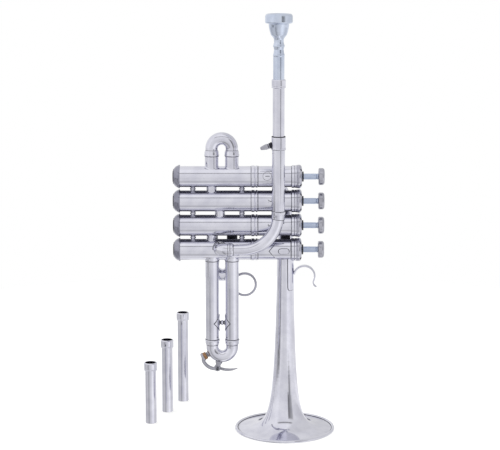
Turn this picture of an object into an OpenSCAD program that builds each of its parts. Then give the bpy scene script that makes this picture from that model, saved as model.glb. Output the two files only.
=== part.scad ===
// Piccolo trumpet with four piston valves, standing on its bell.
// The origin is the centre of the bell mouth. +Z runs up the bell towards the mouthpiece,
// +X is the side of the finger buttons and -Y is the side of the leadpipe.

/* [Bell] */
// Diameter over the rim bead
bell_d = 101.6; // [96:0.1:110]
// Diameter of the wired rim bead
bell_bead_d = 3.0; // [2:0.1:4]
// Thickness of the bell metal
bell_wall = 0.8; // [0.5:0.1:1.2]
// Depth of the flat that the bead stands on
bell_flat = 0.4; // [0.2:0.1:0.6]
// How fast the flare opens, the power of its curve
bell_power = 0.345; // [0.33:0.005:0.36]
// Height where the flare ends and the bell tail starts
bell_top_z = 184; // [178:1:190]

/* [Bell tail] */
// Outer diameter of the bent part of the tail
tail_d = 12.6; // [12:0.1:13.5]
// Wall of the tail
tail_wall = 0.7; // [0.5:0.1:1]
// Radius of the bend at the top of the tail
tail_bend_r = 32; // [30:1:33]

/* [Valve casings] */
// Distance between neighbouring valves
valve_pitch = 24.3; // [24:0.1:26]
// Height of the fourth valve above the floor
valve_4_z = 190.2; // [189:0.1:192]
// Distance from the bell axis forward to the valves
valve_set_y = 19; // [18.6:0.1:20]
// Outer diameter of a casing
casing_d = 20.6; // [20:0.1:21]
// Bore of a casing
casing_bore = 18.0; // [17.5:0.1:18.2]
// End of the casings on the bottom cap side
casing_low_x = -108.4; // [-110:0.1:-107]
// End of the casings on the finger side
casing_high_x = 10.3; // [9:0.1:12]
// Length of the thicker threaded collar at the finger end
collar_len = 5.0; // [4:0.1:7]
// Diameter of that collar
collar_d = 22.2; // [21.5:0.1:22.6]
// Middle of the double ring band round each casing
band_x = -31; // [-34:0.5:-29]
// Diameter over the rings of the band
band_d = 21.7; // [21.2:0.1:22.4]

/* [Valve caps] */
// Diameter of the top and bottom caps
cap_d = 23.2; // [22.6:0.1:23.6]
// Length of a top cap beyond the casing
top_cap_len = 6.1; // [5:0.1:7.5]
// Radius of the vent holes in a top cap
vent_r = 0.8; // [0.5:0.1:1]
// Thickness of the felt on a top cap
felt_t = 0.8; // [0.5:0.1:1.2]
// Diameter of that felt
felt_d = 9.8; // [9:0.1:12]
// How far the dome of a bottom cap stands out of the casing
bottom_cap_dome = 3.2; // [2.6:0.1:4]

/* [Pistons] */
// Stroke of each piston
stroke = 14.4; // [12:0.1:14.8]
// Running clearance between piston and casing, on the radius
piston_gap = 0.05; // [0.02:0.01:0.1]
// Length of the ported part of a piston
piston_len = 56; // [54:1:57]
// Wall of a piston
piston_wall = 1.0; // [0.8:0.1:1.5]
// Diameter of the spring barrel above the ported part
barrel_d = 14.8; // [14.4:0.1:15.4]
// Diameter of the valve stem
stem_d = 5.8; // [5:0.1:6.2]
// Diameter of a finger button
button_d = 16.6; // [15:0.1:18]
// Thickness of a finger button
button_t = 6.1; // [5:0.1:7]
// Wire diameter of a piston spring
spring_wire_d = 0.9; // [0.7:0.05:1]
// Turns of a piston spring
spring_turns = 6; // [5:1:7]

/* [Tubes between the valves] */
// Outer diameter of a crossover tube
crossover_d = 9.8; // [9:0.1:10.4]
// Place of the outer two crossover tubes along the casings
crossover_x = -73.4; // [-75:0.1:-72]
// Place of the middle crossover tube, and of the ports for leadpipe and bell
port_x = -65.2; // [-67:0.1:-64]
// Places of the braces between the casings
brace_low_x = -91.8; // [-94:0.1:-90]
// Place of the second row of braces
brace_high_x = -43.4; // [-44:0.1:-40]

/* [Tuning slides] */
// Distance between the two legs of every slide
leg_gap = 19.7; // [19.2:0.1:20.5]
// Middle of the slides along the casings
slide_x = -63.25; // [-64:0.05:-62]
// Outer diameter of the fixed outer legs
leg_d = 13.5; // [13.3:0.1:13.7]
// Outer diameter of the inner legs and bows
bow_d = 12.3; // [12.2:0.05:12.5]
// Wall of the inner legs and bows
bow_wall = 0.5; // [0.4:0.05:0.8]
// Running clearance between inner and outer legs, on the radius
slide_gap = 0.05; // [0.02:0.01:0.1]
// Diameter over the slide ferrules
ferrule_d = 14.7; // [14.4:0.1:15.2]
// Length of a slide ferrule
ferrule_len = 5.6; // [5:0.1:7]
// First slide: from valve axis to the end of its outer legs
slide_1_reach = 20.4; // [19:0.1:24]
// Second slide: the same
slide_2_reach = 18; // [17:0.1:20]
// Fourth slide: the same
slide_4_reach = 91.5; // [85:0.5:94]
// Third slide: from its valve's axis down to the end of its outer legs
slide_3_reach = 37; // [36:0.5:39]
// Fourth slide: length of its inner legs inside the outer ones
slide_4_inner = 62; // [55:1:66]
// Angle by which the second slide points below level
slide_2_tilt = 12; // [8:1:14]
// Outer diameter of the third slide's knuckles
knuckle_d = 10.9; // [10.4:0.1:11.4]
// Bend radius of those knuckles
knuckle_bend_r = 9; // [8:0.5:9.5]
// From the fourth valve's axis down to the brace between its slide's legs
leg_brace_reach = 74.5; // [70:0.5:78]

/* [Finger ring and hook] */
// Outer diameter of the finger ring on the third slide
ring_d = 25; // [22:0.5:25.5]
// Wire diameter of the ring
ring_wire_d = 2.6; // [2:0.1:3]
// From the middle of the third slide's bow sideways to the ring's centre
ring_side = 22.4; // [21:0.1:23]
// From the middle of that bow's bend down to the ring's centre
ring_drop = 19.5; // [18:0.1:21]
// Thickness of the hook strip
hook_t = 1.9; // [1.5:0.1:2.5]
// Width of the hook strip
hook_w = 6; // [5:0.5:7]
// Radius of the hook's arch
hook_r = 10.5; // [9.5:0.5:11]

/* [Water key] */
// From the middle of the fourth slide sideways to the pivot
key_side = 4.9; // [4:0.1:6]
// From the middle of the bow's bend down to the pivot
key_drop = 21.9; // [21.5:0.1:22.5]
// Width of the lever
key_w = 3.4; // [3:0.1:4]
// Thickness of the lever
key_t = 1.8; // [1.4:0.1:2]
// Radius of the curve of the lever's arm
key_arm_r = 13.2; // [12.8:0.1:13.6]
// Radius of the curve of the lever's tail
key_tail_r = 25.6; // [24:0.1:28]
// Radius of the cork pad
cork_r = 3.2; // [2.8:0.1:3.4]
// Radius of the pivot pin
key_pin_r = 0.8; // [0.6:0.05:1]

/* [Leadpipe] */
// Distance from the bell axis forward to the leadpipe
lead_set_y = 37; // [36.5:0.1:38]
// Distance from the bell axis to the leadpipe, away from the buttons
lead_set_x = 7.9; // [7.5:0.1:8.5]
// Outer diameter of the removable leadpipe
lead_d = 11.5; // [11.3:0.1:11.8]
// Height of the leadpipe's upper end
lead_top_z = 360.1; // [350:0.1:370]
// Length of the installed leadpipe
lead_len = 116; // [105:1:125]
// Diameter of the ring at the leadpipe's upper end
lead_ring_d = 13.7; // [13.2:0.1:15]
// Length of that ring
lead_ring_len = 8.4; // [7:0.1:10]
// Sliding clearance round the leadpipe, on the radius
lead_gap = 0.05; // [0.02:0.01:0.1]
// Outer diameter of the receiver tube
receiver_d = 12.7; // [12.6:0.1:13]
// Height of the receiver's upper end
receiver_top_z = 304.5; // [298:0.1:310]
// Height of the clamp collar
clamp_len = 12.3; // [11:0.1:14]
// Diameter of the clamp collar
clamp_d = 13.9; // [13.6:0.1:15]
// Radius of the main bend's centre line
main_bend_r = 35; // [34:0.5:36]
// Height of the level run above the fourth valve's axis
entry_rise = 2.7; // [2:0.1:3]
// Outer diameter of the main bend
bend_start_d = 12.0; // [11.6:0.1:12.4]
// Outer diameter where the main bend's run ends at the elbow
bend_end_d = 10.4; // [10:0.1:10.8]
// Wall of the main bend
bend_wall = 0.6; // [0.5:0.1:0.8]
// Outer diameter of the elbow into the fourth valve
elbow_d = 12.9; // [12.4:0.1:13.2]
// Bend radius of that elbow
elbow_r = 7.9; // [7.6:0.1:8.2]
// Angle at which the thumb screw points below level
screw_tilt = 17; // [10:1:25]
// Radius of the thumb screw's shank
screw_r = 1.5; // [1.2:0.1:1.8]
// Clearance round the screw, on the radius, and between its tip and the leadpipe
screw_gap = 0.05; // [0.02:0.01:0.1]

/* [Mouthpiece] */
// Diameter of the mouthpiece rim
rim_d = 26.6; // [25:0.1:28]
// Height of the mouthpiece above the leadpipe
mouth_rise = 62.7; // [58:0.1:66]
// Length of shank inside the leadpipe
shank_depth = 24; // [20:0.5:27]
// Shank diameter where it enters the leadpipe
shank_d = 10.9; // [10.6:0.1:11]
// Inner diameter of the cup at the rim
cup_d = 16.0; // [15:0.1:17]
// Throat diameter
throat_d = 3.7; // [3.4:0.1:4]

/* [Spare leadpipes] */
// Length of the long spare leadpipe
spare_long = 98; // [90:1:110]
// Length of the middle spare leadpipe
spare_mid = 78; // [70:1:88]
// Length of the short spare leadpipe
spare_short = 64; // [55:1:68]
// Place of the long spare, from the bell axis away from the buttons
spare_x = 108; // [106:1:125]
// Place of the long spare behind the bell axis
spare_y = 100; // [90:1:110]
// Step from one spare to the next, sideways
spare_step_x = 15; // [14.5:0.5:25]
// Step from one spare to the next, forward
spare_step_y = 40; // [35:1:45]

/* [Hidden] */
$fn = 64;

// Overlap used only where one shape is cut from another
cut = 0.5;
// Small gap kept between touching faces of different pieces
seat = 0.02;
silver = "#c3c3cc";
dark_silver = "#8c8b94";
cool_silver = "#b8c3ce";

valve_y = -valve_set_y;
lead_x = -lead_set_x;
lead_y = -lead_set_y;
casing_r = casing_d / 2;
leg_r = leg_d / 2;
bow_r = bow_d / 2;
bow_bore_r = bow_r - bow_wall;
bow_bend_r = leg_gap / 2;
leg_bore_r = bow_r + slide_gap;
port_r = bow_bore_r - 0.2;

function valve_z(n) = valve_4_z + (4 - n) * valve_pitch;

// The bell's flare follows a power curve that reaches the rim's radius just above the floor
bell_curve_z = 0.9;
bell_start_z = 0.9;
function bell_up(z) = z - bell_start_z + bell_curve_z;
function bell_r(z) = bell_d / 2 * pow(bell_curve_z / bell_up(z), bell_power);
function bell_slope(z) = -bell_power * bell_r(z) / bell_up(z);

// General shapes

module tube(len, r_out, r_in) {
    difference() {
        cylinder(h = len, r = r_out);
        translate([0, 0, -cut])
            cylinder(h = len + 2 * cut, r = r_in);
    }
}

// A rod or a tube's outer skin that starts at the origin and turns from +Z towards +X
module bent_rod(bend_r, angle, r) {
    translate([bend_r, 0, 0])
        rotate([90, 0, 0])
            rotate([0, 0, 180 - angle])
                rotate_extrude(angle = angle)
                    translate([bend_r, 0])
                        circle(r);
}

module bent_tube(bend_r, angle, r_out, r_in) {
    translate([bend_r, 0, 0])
        rotate([90, 0, 0])
            rotate([0, 0, 180 - angle])
                rotate_extrude(angle = angle)
                    translate([bend_r, 0])
                        difference() {
                            circle(r_out);
                            circle(r_in);
                        }
}

// Turns +Z into +X, so that a profile drawn as [radius, x] lies on a valve's axis
module along_x() {
    rotate([0, 90, 0])
        children();
}

module turned(profile) {
    rotate_extrude()
        polygon(profile);
}

// A tube swept through rings of points. Each ring is [centre, radius, side direction, up direction]
module swept(rings, sides) {
    count = len(rings);
    points = [
        for (g = rings)
            for (s = [0 : sides - 1])
                g[0] + g[1] * (cos(360 * s / sides) * g[2] + sin(360 * s / sides) * g[3])
    ];
    walls = [
        for (i = [0 : count - 2])
            for (s = [0 : sides - 1])
                for (half = [0, 1])
                    let (a = i * sides + s)
                    let (b = i * sides + (s + 1) % sides)
                    half == 0 ? [a, b, b + sides] : [a, b + sides, a + sides]
    ];
    first_end = [for (s = [sides - 1 : -1 : 0]) s];
    last_end = [for (s = [0 : sides - 1]) (count - 1) * sides + s];
    polyhedron(points = points, faces = concat(walls, [first_end, last_end]));
}

// Bell

// Points up one side of the flare, moved inwards at right angles to it by sink
function bell_side(steps, sink) = [
    for (i = [0 : steps])
        let (up = bell_curve_z * pow(bell_up(bell_top_z) / bell_curve_z, i / steps))
        let (z = up - bell_curve_z + bell_start_z)
        let (slope = i == steps ? 0 : bell_slope(z))
        let (size = sqrt(1 + slope * slope))
        [
            min(bell_r(z), bell_d / 2 - bell_bead_d / 2) - sink / size,
            z + sink * slope / size
        ]
];

module bell() {
    bead_r = bell_bead_d / 2;
    outer = bell_side(40, 0);
    inner = bell_side(40, bell_wall);
    color(silver)
        union() {
            rotate_extrude()
                polygon(concat(outer, [for (i = [len(inner) - 1 : -1 : 0]) inner[i]]));
            difference() {
                rotate_extrude()
                    translate([bell_d / 2 - bead_r, bead_r - bell_flat])
                        circle(bead_r);
                translate([0, 0, -bell_bead_d])
                    cylinder(h = bell_bead_d, r = bell_d);
            }
        }
}

tail_r = tail_d / 2;
tail_bend_z = valve_z(1) - tail_bend_r;
tail_elbow_x = port_x + elbow_r;

module bell_tail() {
    low_r = bell_r(bell_top_z);
    color(silver) {
        turned([
            [low_r, bell_top_z],
            [tail_r, tail_bend_z],
            [tail_r - tail_wall, tail_bend_z],
            [low_r - tail_wall, bell_top_z]
        ]);
        translate([0, 0, tail_bend_z])
            rotate([0, 0, 180])
                bent_tube(tail_bend_r, 90, tail_r, tail_r - tail_wall);
        translate([-tail_bend_r, 0, valve_z(1)])
            rotate([0, -90, 0])
                tube(-tail_elbow_x - tail_bend_r, tail_r, tail_r - tail_wall);
    }
}

module tail_elbow() {
    reach = valve_set_y - elbow_r;
    color(silver)
        difference() {
            union() {
                translate([tail_elbow_x, 0, valve_z(1)])
                    rotate([90, 0, 0])
                        rotate([0, -90, 0])
                            bent_rod(elbow_r, 90, elbow_d / 2);
                translate([port_x, -elbow_r, valve_z(1)])
                    rotate([90, 0, 0])
                        cylinder(h = reach - casing_bore / 2, r = elbow_d / 2);
            }
            translate([tail_elbow_x, 0, valve_z(1)])
                rotate([90, 0, 0])
                    rotate([0, -90, 0])
                        bent_rod(elbow_r, 90, tail_r - tail_wall);
            translate([port_x, -elbow_r, valve_z(1)])
                rotate([90, 0, 0])
                    cylinder(h = reach, r = tail_r - tail_wall);
            casing_space(1);
        }
}

// Space that a casing's outside takes up, for the saddle ends of whatever is soldered to it
module casing_space(n) {
    translate([casing_low_x, valve_y, valve_z(n)])
        along_x()
            cylinder(h = casing_high_x - casing_low_x, r = casing_r);
}

flange_t = 1.0;
flange_tip_x = -16.4;
flange_end_x = 4.6;
flange_half_h = 8;
boss_x = -2.2;
boss_len = 9.2;
boss_w = 4.9;
foot_low_z = 174;
foot_w = 6.4;
foot_slope = 48;

module bell_flange() {
    z4 = valve_z(4);
    color(silver)
        difference() {
            union() {
                // Pointed plate wrapped round the front of the fourth casing
                intersection() {
                    translate([flange_tip_x, valve_y, z4])
                        along_x()
                            cylinder(h = flange_end_x - flange_tip_x, r = casing_r + flange_t);
                    translate([0, valve_y, z4])
                        rotate([90, 0, 0])
                            linear_extrude(casing_d)
                                polygon([
                                    [flange_tip_x, 0],
                                    [flange_tip_x + flange_half_h * 0.75, flange_half_h],
                                    [flange_end_x, flange_half_h],
                                    [flange_end_x, -flange_half_h],
                                    [flange_tip_x + flange_half_h * 0.75, -flange_half_h]
                                ]);
                }
                // Oblong boss on the plate
                for (side = [-1, 1])
                    translate([boss_x + side * (boss_len - boss_w) / 2, valve_y, z4])
                        rotate([90, 0, 0])
                            cylinder(h = casing_r + 1.8 * flange_t, r = boss_w / 2);
                translate([
                    boss_x - (boss_len - boss_w) / 2,
                    valve_y - casing_r - 1.8 * flange_t,
                    z4 - boss_w / 2
                ])
                    cube([boss_len - boss_w, casing_r + 1.8 * flange_t, boss_w]);
                // Foot between the casing's underside and the front of the bell
                translate([-foot_w / 2, valve_y, foot_low_z])
                    cube([foot_w, valve_set_y, z4 - foot_low_z]);
            }
            casing_space(4);
            translate([0, 0, foot_low_z - cut])
                cylinder(h = valve_pitch, r = bell_r(foot_low_z) + seat);
            // The foot's front is sloped from the casing down to the bell
            translate([-foot_w, valve_y - casing_d, foot_low_z - casing_d])
                rotate([-foot_slope, 0, 0])
                    cube([2 * foot_w, casing_d, 2 * casing_d]);
        }
}

hook_low_z = 146;
hook_high_z = 184;
hook_from = -66;
hook_to = -30;
hook_centre_x = 19;
hook_centre_z = 160;
hook_tip_r = 4.5;
hook_tip_turn = 95;
hook_y = -4.2;

module strip_arc(mid_r, from, to) {
    rotate([90, 0, 0])
        rotate([0, 0, from])
            rotate_extrude(angle = to - from)
                translate([mid_r - hook_t / 2, -hook_w / 2])
                    square([hook_t, hook_w]);
}

module finger_hook() {
    steps = 6;
    strip_t = 1.1;
    heights = [for (i = [0 : steps]) hook_low_z + (hook_high_z - hook_low_z) * i / steps];
    tip_a = -25;
    tip_x = hook_centre_x + (hook_r + hook_tip_r) * cos(tip_a);
    tip_z = hook_centre_z + (hook_r + hook_tip_r) * sin(tip_a);
    tip_end = tip_a + 180 + hook_tip_turn;
    color(silver)
        difference() {
            union() {
                // Long strip soldered to the bell's side
                rotate([0, 0, hook_from])
                    rotate_extrude(angle = hook_to - hook_from)
                        polygon(concat(
                            [for (z = heights) [bell_r(z) - bell_wall / 2, z]],
                            [for (i = [steps : -1 : 0]) [bell_r(heights[i]) + strip_t, heights[i]]]
                        ));
                // Arch for the little finger
                translate([hook_centre_x, hook_y, hook_centre_z])
                    strip_arc(hook_r, tip_a, 168);
                // Flared end
                translate([tip_x, hook_y, tip_z])
                    strip_arc(hook_tip_r, tip_a + 180, tip_end);
                translate([
                    tip_x + hook_tip_r * cos(tip_end),
                    hook_y,
                    tip_z + hook_tip_r * sin(tip_end)
                ])
                    rotate([0, 90 - tip_end, 0])
                        translate([-hook_t / 2, -hook_w / 2, 0])
                            cube([hook_t, hook_w, 2]);
            }
            // The bell's own space
            turned(concat(
                [[0, hook_low_z - cut], [bell_r(hook_low_z) + seat, hook_low_z - cut]],
                [for (z = heights) [bell_r(z) + seat, z]],
                [[bell_r(hook_high_z) + seat, hook_high_z + cut], [0, hook_high_z + cut]]
            ));
        }
}

// Valve casings

band_gap = 1.4;
band_wide = 3.0;
band_thin = 1.8;

module ring_profile(x, width) {
    translate([x, 0, 0])
        along_x()
            tube(width, band_d / 2, casing_r - cut);
}

// A round hole through the casing wall, or through a piston's wall, at x.
// An angle of 0 points up, 90 to the front, -90 to the back and 180 down.
module port(x, angle, r, reach) {
    translate([x, 0, 0])
        rotate([angle, 0, 0])
            cylinder(h = reach, r = r);
}

leg_low_x = slide_x - leg_gap / 2;
leg_high_x = slide_x + leg_gap / 2;
crossover_bore_r = crossover_d / 2 - 0.6;
entry_bore_r = 4.9;

// Ports of each valve as [place, angle, radius]
function ports(n) =
    n == 1 ? [
        [leg_low_x, 0, port_r], [leg_high_x, 0, port_r],
        [crossover_x, 180, crossover_bore_r], [port_x, -90, entry_bore_r]
    ] :
    n == 2 ? [
        [crossover_x, 0, crossover_bore_r], [port_x, 180, crossover_bore_r],
        [leg_low_x, -90 - slide_2_tilt, entry_bore_r], [leg_high_x, -90 - slide_2_tilt, entry_bore_r]
    ] :
    n == 3 ? [
        [port_x, 0, crossover_bore_r], [crossover_x, 180, crossover_bore_r],
        [leg_low_x, -90, entry_bore_r], [leg_high_x, -90, entry_bore_r]
    ] : [
        [crossover_x, 0, crossover_bore_r], [port_x, 90, entry_bore_r],
        [leg_low_x, 180, port_r], [leg_high_x, 180, port_r]
    ];

module valve_casing(n) {
    color(silver)
        translate([0, valve_y, valve_z(n)])
            difference() {
                union() {
                    translate([casing_low_x, 0, 0])
                        along_x()
                            cylinder(h = casing_high_x - casing_low_x, r = casing_r);
                    translate([casing_high_x - collar_len, 0, 0])
                        along_x()
                            cylinder(h = collar_len, r = collar_d / 2);
                    ring_profile(band_x - band_gap / 2 - band_wide, band_wide);
                    ring_profile(band_x + band_gap / 2, band_thin);
                }
                translate([casing_low_x - cut, 0, 0])
                    along_x()
                        cylinder(h = casing_high_x - casing_low_x + 2 * cut, r = casing_bore / 2);
                for (p = ports(n))
                    port(p[0], p[1], p[2], casing_d);
            }
}

top_x = casing_high_x + top_cap_len;
felt_top_x = top_x + felt_t;
stem_r = stem_d / 2;
stem_hole_r = stem_r + 0.1;

module top_caps() {
    r = cap_d / 2;
    for (n = [1 : 4])
        color(silver)
            translate([0, valve_y, valve_z(n)])
                difference() {
                    along_x()
                        turned([
                            [collar_d / 2 - 1.2, casing_high_x + seat],
                            [r - 0.4, casing_high_x + seat],
                            [r, casing_high_x + 0.5],
                            [r, casing_high_x + 3.4],
                            [r - 0.3, casing_high_x + 4.3],
                            [r - 1.2, casing_high_x + 5.1],
                            [r - 2.8, top_x - 0.4],
                            [r - 4.8, top_x],
                            [stem_hole_r, top_x],
                            [stem_hole_r, top_x - 1.4],
                            [casing_bore / 2, casing_high_x + 2.2],
                            [casing_bore / 2, casing_high_x + seat]
                        ]);
                    for (k = [0 : 3])
                        rotate([90 * k + 45, 0, 0])
                            translate([top_x - 1.6, 0, 9])
                                rotate([0, 40, 0])
                                    translate([0, 0, -3.4])
                                        cylinder(h = 8, r = vent_r);
                }
}

module cap_felts() {
    for (n = [1 : 4])
        color("#2d2b30")
            translate([top_x, valve_y, valve_z(n)])
                along_x()
                    tube(felt_t, felt_d / 2, stem_hole_r + 0.1);
}

module bottom_caps() {
    r = cap_d / 2;
    lip = 4.0;
    floor_x = casing_low_x - 0.6;
    for (n = [1 : 4])
        color(dark_silver)
            translate([0, valve_y, valve_z(n)])
                along_x()
                    turned([
                        [casing_r + seat, casing_low_x + lip],
                        [r - 0.5, casing_low_x + lip],
                        [r, casing_low_x + lip - 0.5],
                        [r, casing_low_x + 0.4],
                        [r - 0.5, casing_low_x - 0.4],
                        [10.2, casing_low_x - 0.35 * bottom_cap_dome],
                        [8.2, casing_low_x - 0.7 * bottom_cap_dome],
                        [5.4, casing_low_x - 0.93 * bottom_cap_dome],
                        [2.2, casing_low_x - bottom_cap_dome],
                        [2.0, casing_low_x - bottom_cap_dome + 1.0],
                        [5.2, casing_low_x - bottom_cap_dome + 1.3],
                        [7.8, floor_x],
                        [casing_r + seat, floor_x]
                    ]);
}

// Crossovers and braces

module crossover_tubes() {
    for (n = [1 : 3])
        color(silver)
            difference() {
                translate([n == 2 ? port_x : crossover_x, valve_y, valve_z(n + 1)])
                    tube(valve_pitch, crossover_d / 2, crossover_bore_r);
                casing_space(n);
                casing_space(n + 1);
            }
}

module casing_braces() {
    half = valve_pitch / 2;
    for (n = [1 : 3])
        for (x = [brace_low_x, brace_high_x])
            color(silver)
                difference() {
                    translate([x, valve_y, valve_z(n + 1) + half])
                        turned([
                            [0, -half + casing_r - 1.2],
                            [3.5, -half + casing_r - 1.2],
                            [3.4, -half + casing_r + 0.25],
                            [1.5, -half + casing_r + 0.6],
                            [2.2, -0.75],
                            [1.5, 0],
                            [2.2, 0.75],
                            [1.5, half - casing_r - 0.6],
                            [3.4, half - casing_r - 0.25],
                            [3.5, half - casing_r + 1.2],
                            [0, half - casing_r + 1.2]
                        ]);
                    casing_space(n);
                    casing_space(n + 1);
                }
}

// Pistons. All sizes run along the casing from the finger side downwards.

barrel_high_x = -1.5;
barrel_low_x = -34;
piston_low_x = barrel_low_x - piston_len;
barrel_r = barrel_d / 2;
barrel_bore_r = barrel_r - 0.6;
disc_t = 1.4;
guide_w = 3.6;
guide_t = 2.2;
guide_x = -26.5;
guide_gap = 0.1;
stem_flange_r = 4.6;
piston_port_r = 4.1;

module piston(n) {
    piston_r = casing_bore / 2 - piston_gap;
    slot_low = guide_x - guide_t - 0.4;
    slot_high = guide_x + stroke + 0.4;
    color(silver)
        translate([0, valve_y, valve_z(n)])
            difference() {
                union() {
                    translate([piston_low_x, 0, 0])
                        along_x()
                            cylinder(h = piston_len, r = piston_r);
                    translate([barrel_low_x, 0, 0])
                        along_x()
                            cylinder(h = barrel_high_x - barrel_low_x, r = barrel_r);
                }
                translate([piston_low_x - cut, 0, 0])
                    along_x()
                        cylinder(h = piston_len - disc_t + cut, r = piston_r - piston_wall);
                translate([barrel_low_x, 0, 0])
                    along_x()
                        cylinder(h = barrel_high_x - disc_t - barrel_low_x, r = barrel_bore_r);
                translate([barrel_high_x - 2 * disc_t, 0, 0])
                    along_x()
                        cylinder(h = 3 * disc_t, r = 1.6);
                translate([slot_low, -casing_d / 2, -guide_w / 2 - guide_gap])
                    cube([slot_high - slot_low, casing_d, guide_w + 2 * guide_gap]);
                // Ports that meet the casing's ports when the piston is up
                for (p = ports(n))
                    if (p[0] != leg_low_x && p[0] != leg_high_x)
                        port(p[0], p[1], piston_port_r, casing_d);
                // Ports that meet the casing's ports when the piston is down
                for (p = ports(n))
                    port(p[0] + stroke, p[1], piston_port_r, casing_d);
            }
}

module valve_guides() {
    for (n = [1 : 4])
        color("#d8c9a0")
            translate([guide_x - guide_t, valve_y, valve_z(n)])
                intersection() {
                    along_x()
                        cylinder(h = guide_t, r = casing_bore / 2 - seat);
                    translate([0, -casing_d / 2, -guide_w / 2])
                        cube([guide_t, casing_d, guide_w]);
                }
}

function coil_rings(mid_r, wire_r, from, to, turns, per_turn) = [
    for (i = [0 : turns * per_turn])
        let (a = 360 * i / per_turn)
        let (z = from + (to - from) * i / (turns * per_turn))
        [[mid_r * cos(a), mid_r * sin(a), z], wire_r, [cos(a), sin(a), 0], [0, 0, 1]]
];

module piston_spring(n) {
    wire_r = spring_wire_d / 2;
    mid_r = barrel_bore_r - wire_r - 0.25;
    color("#9a9aa0")
        translate([0, valve_y, valve_z(n)])
            along_x()
                swept(
                    coil_rings(
                        mid_r, wire_r, guide_x + wire_r + 0.1,
                        barrel_high_x - disc_t - wire_r - 0.1, spring_turns, 10
                    ),
                    6
                );
}

button_low_x = felt_top_x + stroke + seat;

module valve_stem(n) {
    color(cool_silver)
        translate([0, valve_y, valve_z(n)])
            along_x()
                turned([
                    [0, barrel_high_x],
                    [stem_flange_r, barrel_high_x],
                    [stem_flange_r, barrel_high_x + 1.2],
                    [stem_r, barrel_high_x + 1.2],
                    [stem_r, button_low_x],
                    [0, button_low_x]
                ]);
}

module finger_button(n) {
    r = button_d / 2;
    high = button_low_x + button_t;
    color(silver)
        translate([0, valve_y, valve_z(n)])
            along_x()
                turned([
                    [0, button_low_x],
                    [r - 1.1, button_low_x],
                    [r - 0.35, button_low_x + 0.35],
                    [r, button_low_x + 1.1],
                    [r, high - 1.9],
                    [r - 0.4, high - 0.8],
                    [r - 1.4, high - 0.1],
                    [r - 2.0, high],
                    [r - 2.6, high - 0.2],
                    [0, high - 0.6]
                ]);
}

// Slides. In a slide's own frame +Z points out along its legs, from the valve's axis.

module at_legs() {
    for (x = [leg_low_x, leg_high_x])
        translate([x, 0, 0])
            children();
}

module slide_frame(n) {
    turn = n == 1 ? 0 : n == 2 ? -90 - slide_2_tilt : 180;
    translate([0, valve_y, valve_z(n)])
        rotate([turn, 0, 0])
            children();
}

module sleeve_pair(from, reach) {
    at_legs()
        translate([0, 0, from])
            tube(reach - from, leg_r, leg_bore_r);
}

// Bow with its ferrules and inner legs. The ferrules meet the outer legs at reach.
module bow(reach, inner_len, straight) {
    bow_z = reach + ferrule_len + straight;
    at_legs() {
        translate([0, 0, reach - inner_len])
            tube(bow_z - reach + inner_len, bow_r, bow_bore_r);
        translate([0, 0, reach + seat])
            turned([
                [bow_r - bow_wall / 2, 0],
                [ferrule_d / 2 - 0.3, 0],
                [ferrule_d / 2, 0.4],
                [ferrule_d / 2, 1.6],
                [ferrule_d / 2 - 0.25, 1.9],
                [ferrule_d / 2 - 0.25, ferrule_len - 1.4],
                [ferrule_d / 2 - 0.5, ferrule_len - 0.5],
                [bow_r, ferrule_len - seat],
                [bow_r - bow_wall / 2, ferrule_len - seat]
            ]);
    }
    translate([leg_low_x, 0, bow_z])
        bent_tube(bow_bend_r, 180, bow_r, bow_bore_r);
}

module slide_1_sleeves() {
    color(silver)
        difference() {
            slide_frame(1)
                sleeve_pair(casing_bore / 2, slide_1_reach);
            casing_space(1);
        }
}

module slide_2_sleeves() {
    color(silver)
        difference() {
            slide_frame(2)
                sleeve_pair(casing_bore / 2 - 3, slide_2_reach);
            casing_space(2);
        }
}

leg_ring_len = 2.8;

// Straight part of each bow between its ferrules and its bend
slide_1_straight = 1.8;
slide_2_straight = 1.2;
slide_3_straight = 1.8;
slide_4_straight = 2.2;

module slide_4_sleeves() {
    color(silver)
        difference() {
            slide_frame(4) {
                sleeve_pair(casing_bore / 2 - 3, slide_4_reach);
                at_legs()
                    translate([0, 0, casing_r - 0.6])
                        tube(leg_ring_len, leg_r + 0.5, leg_r - 0.3);
            }
            casing_space(4);
        }
}

knuckle_r = knuckle_d / 2;
knuckle_bore_r = entry_bore_r - 0.1;
knuckle_low_z = valve_z(3) - knuckle_bend_r - 9.5;
slide_3_end_z = valve_z(3) - slide_3_reach;
slide_3_bow_z = slide_3_end_z - ferrule_len - slide_3_straight;

// The third slide hangs down behind the fourth valve, in the plane of the bell
module slide_3_knuckles() {
    z3 = valve_z(3);
    color(silver)
        difference() {
            at_legs() {
                translate([0, -knuckle_bend_r, z3])
                    rotate([-90, 0, 0])
                        rotate([0, 0, 90])
                            bent_tube(knuckle_bend_r, 90, knuckle_r, knuckle_bore_r);
                translate([0, 0, knuckle_low_z])
                    tube(z3 - knuckle_bend_r - knuckle_low_z, knuckle_r, knuckle_bore_r);
                translate([0, valve_y, z3])
                    rotate([-90, 0, 0])
                        translate([0, 0, casing_bore / 2 - 2])
                            tube(valve_set_y - knuckle_bend_r - casing_bore / 2 + 2, knuckle_r, knuckle_bore_r);
            }
            casing_space(3);
        }
}

module slide_3_sleeves() {
    color(silver)
        at_legs()
            translate([0, 0, slide_3_end_z])
                difference() {
                    cylinder(h = knuckle_low_z + 1 - slide_3_end_z, r = leg_r);
                    translate([0, 0, -cut])
                        cylinder(h = knuckle_low_z - slide_3_end_z - 0.5 + cut, r = leg_bore_r);
                    cylinder(h = 2 * leg_d, r = knuckle_r + seat);
                }
}

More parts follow.
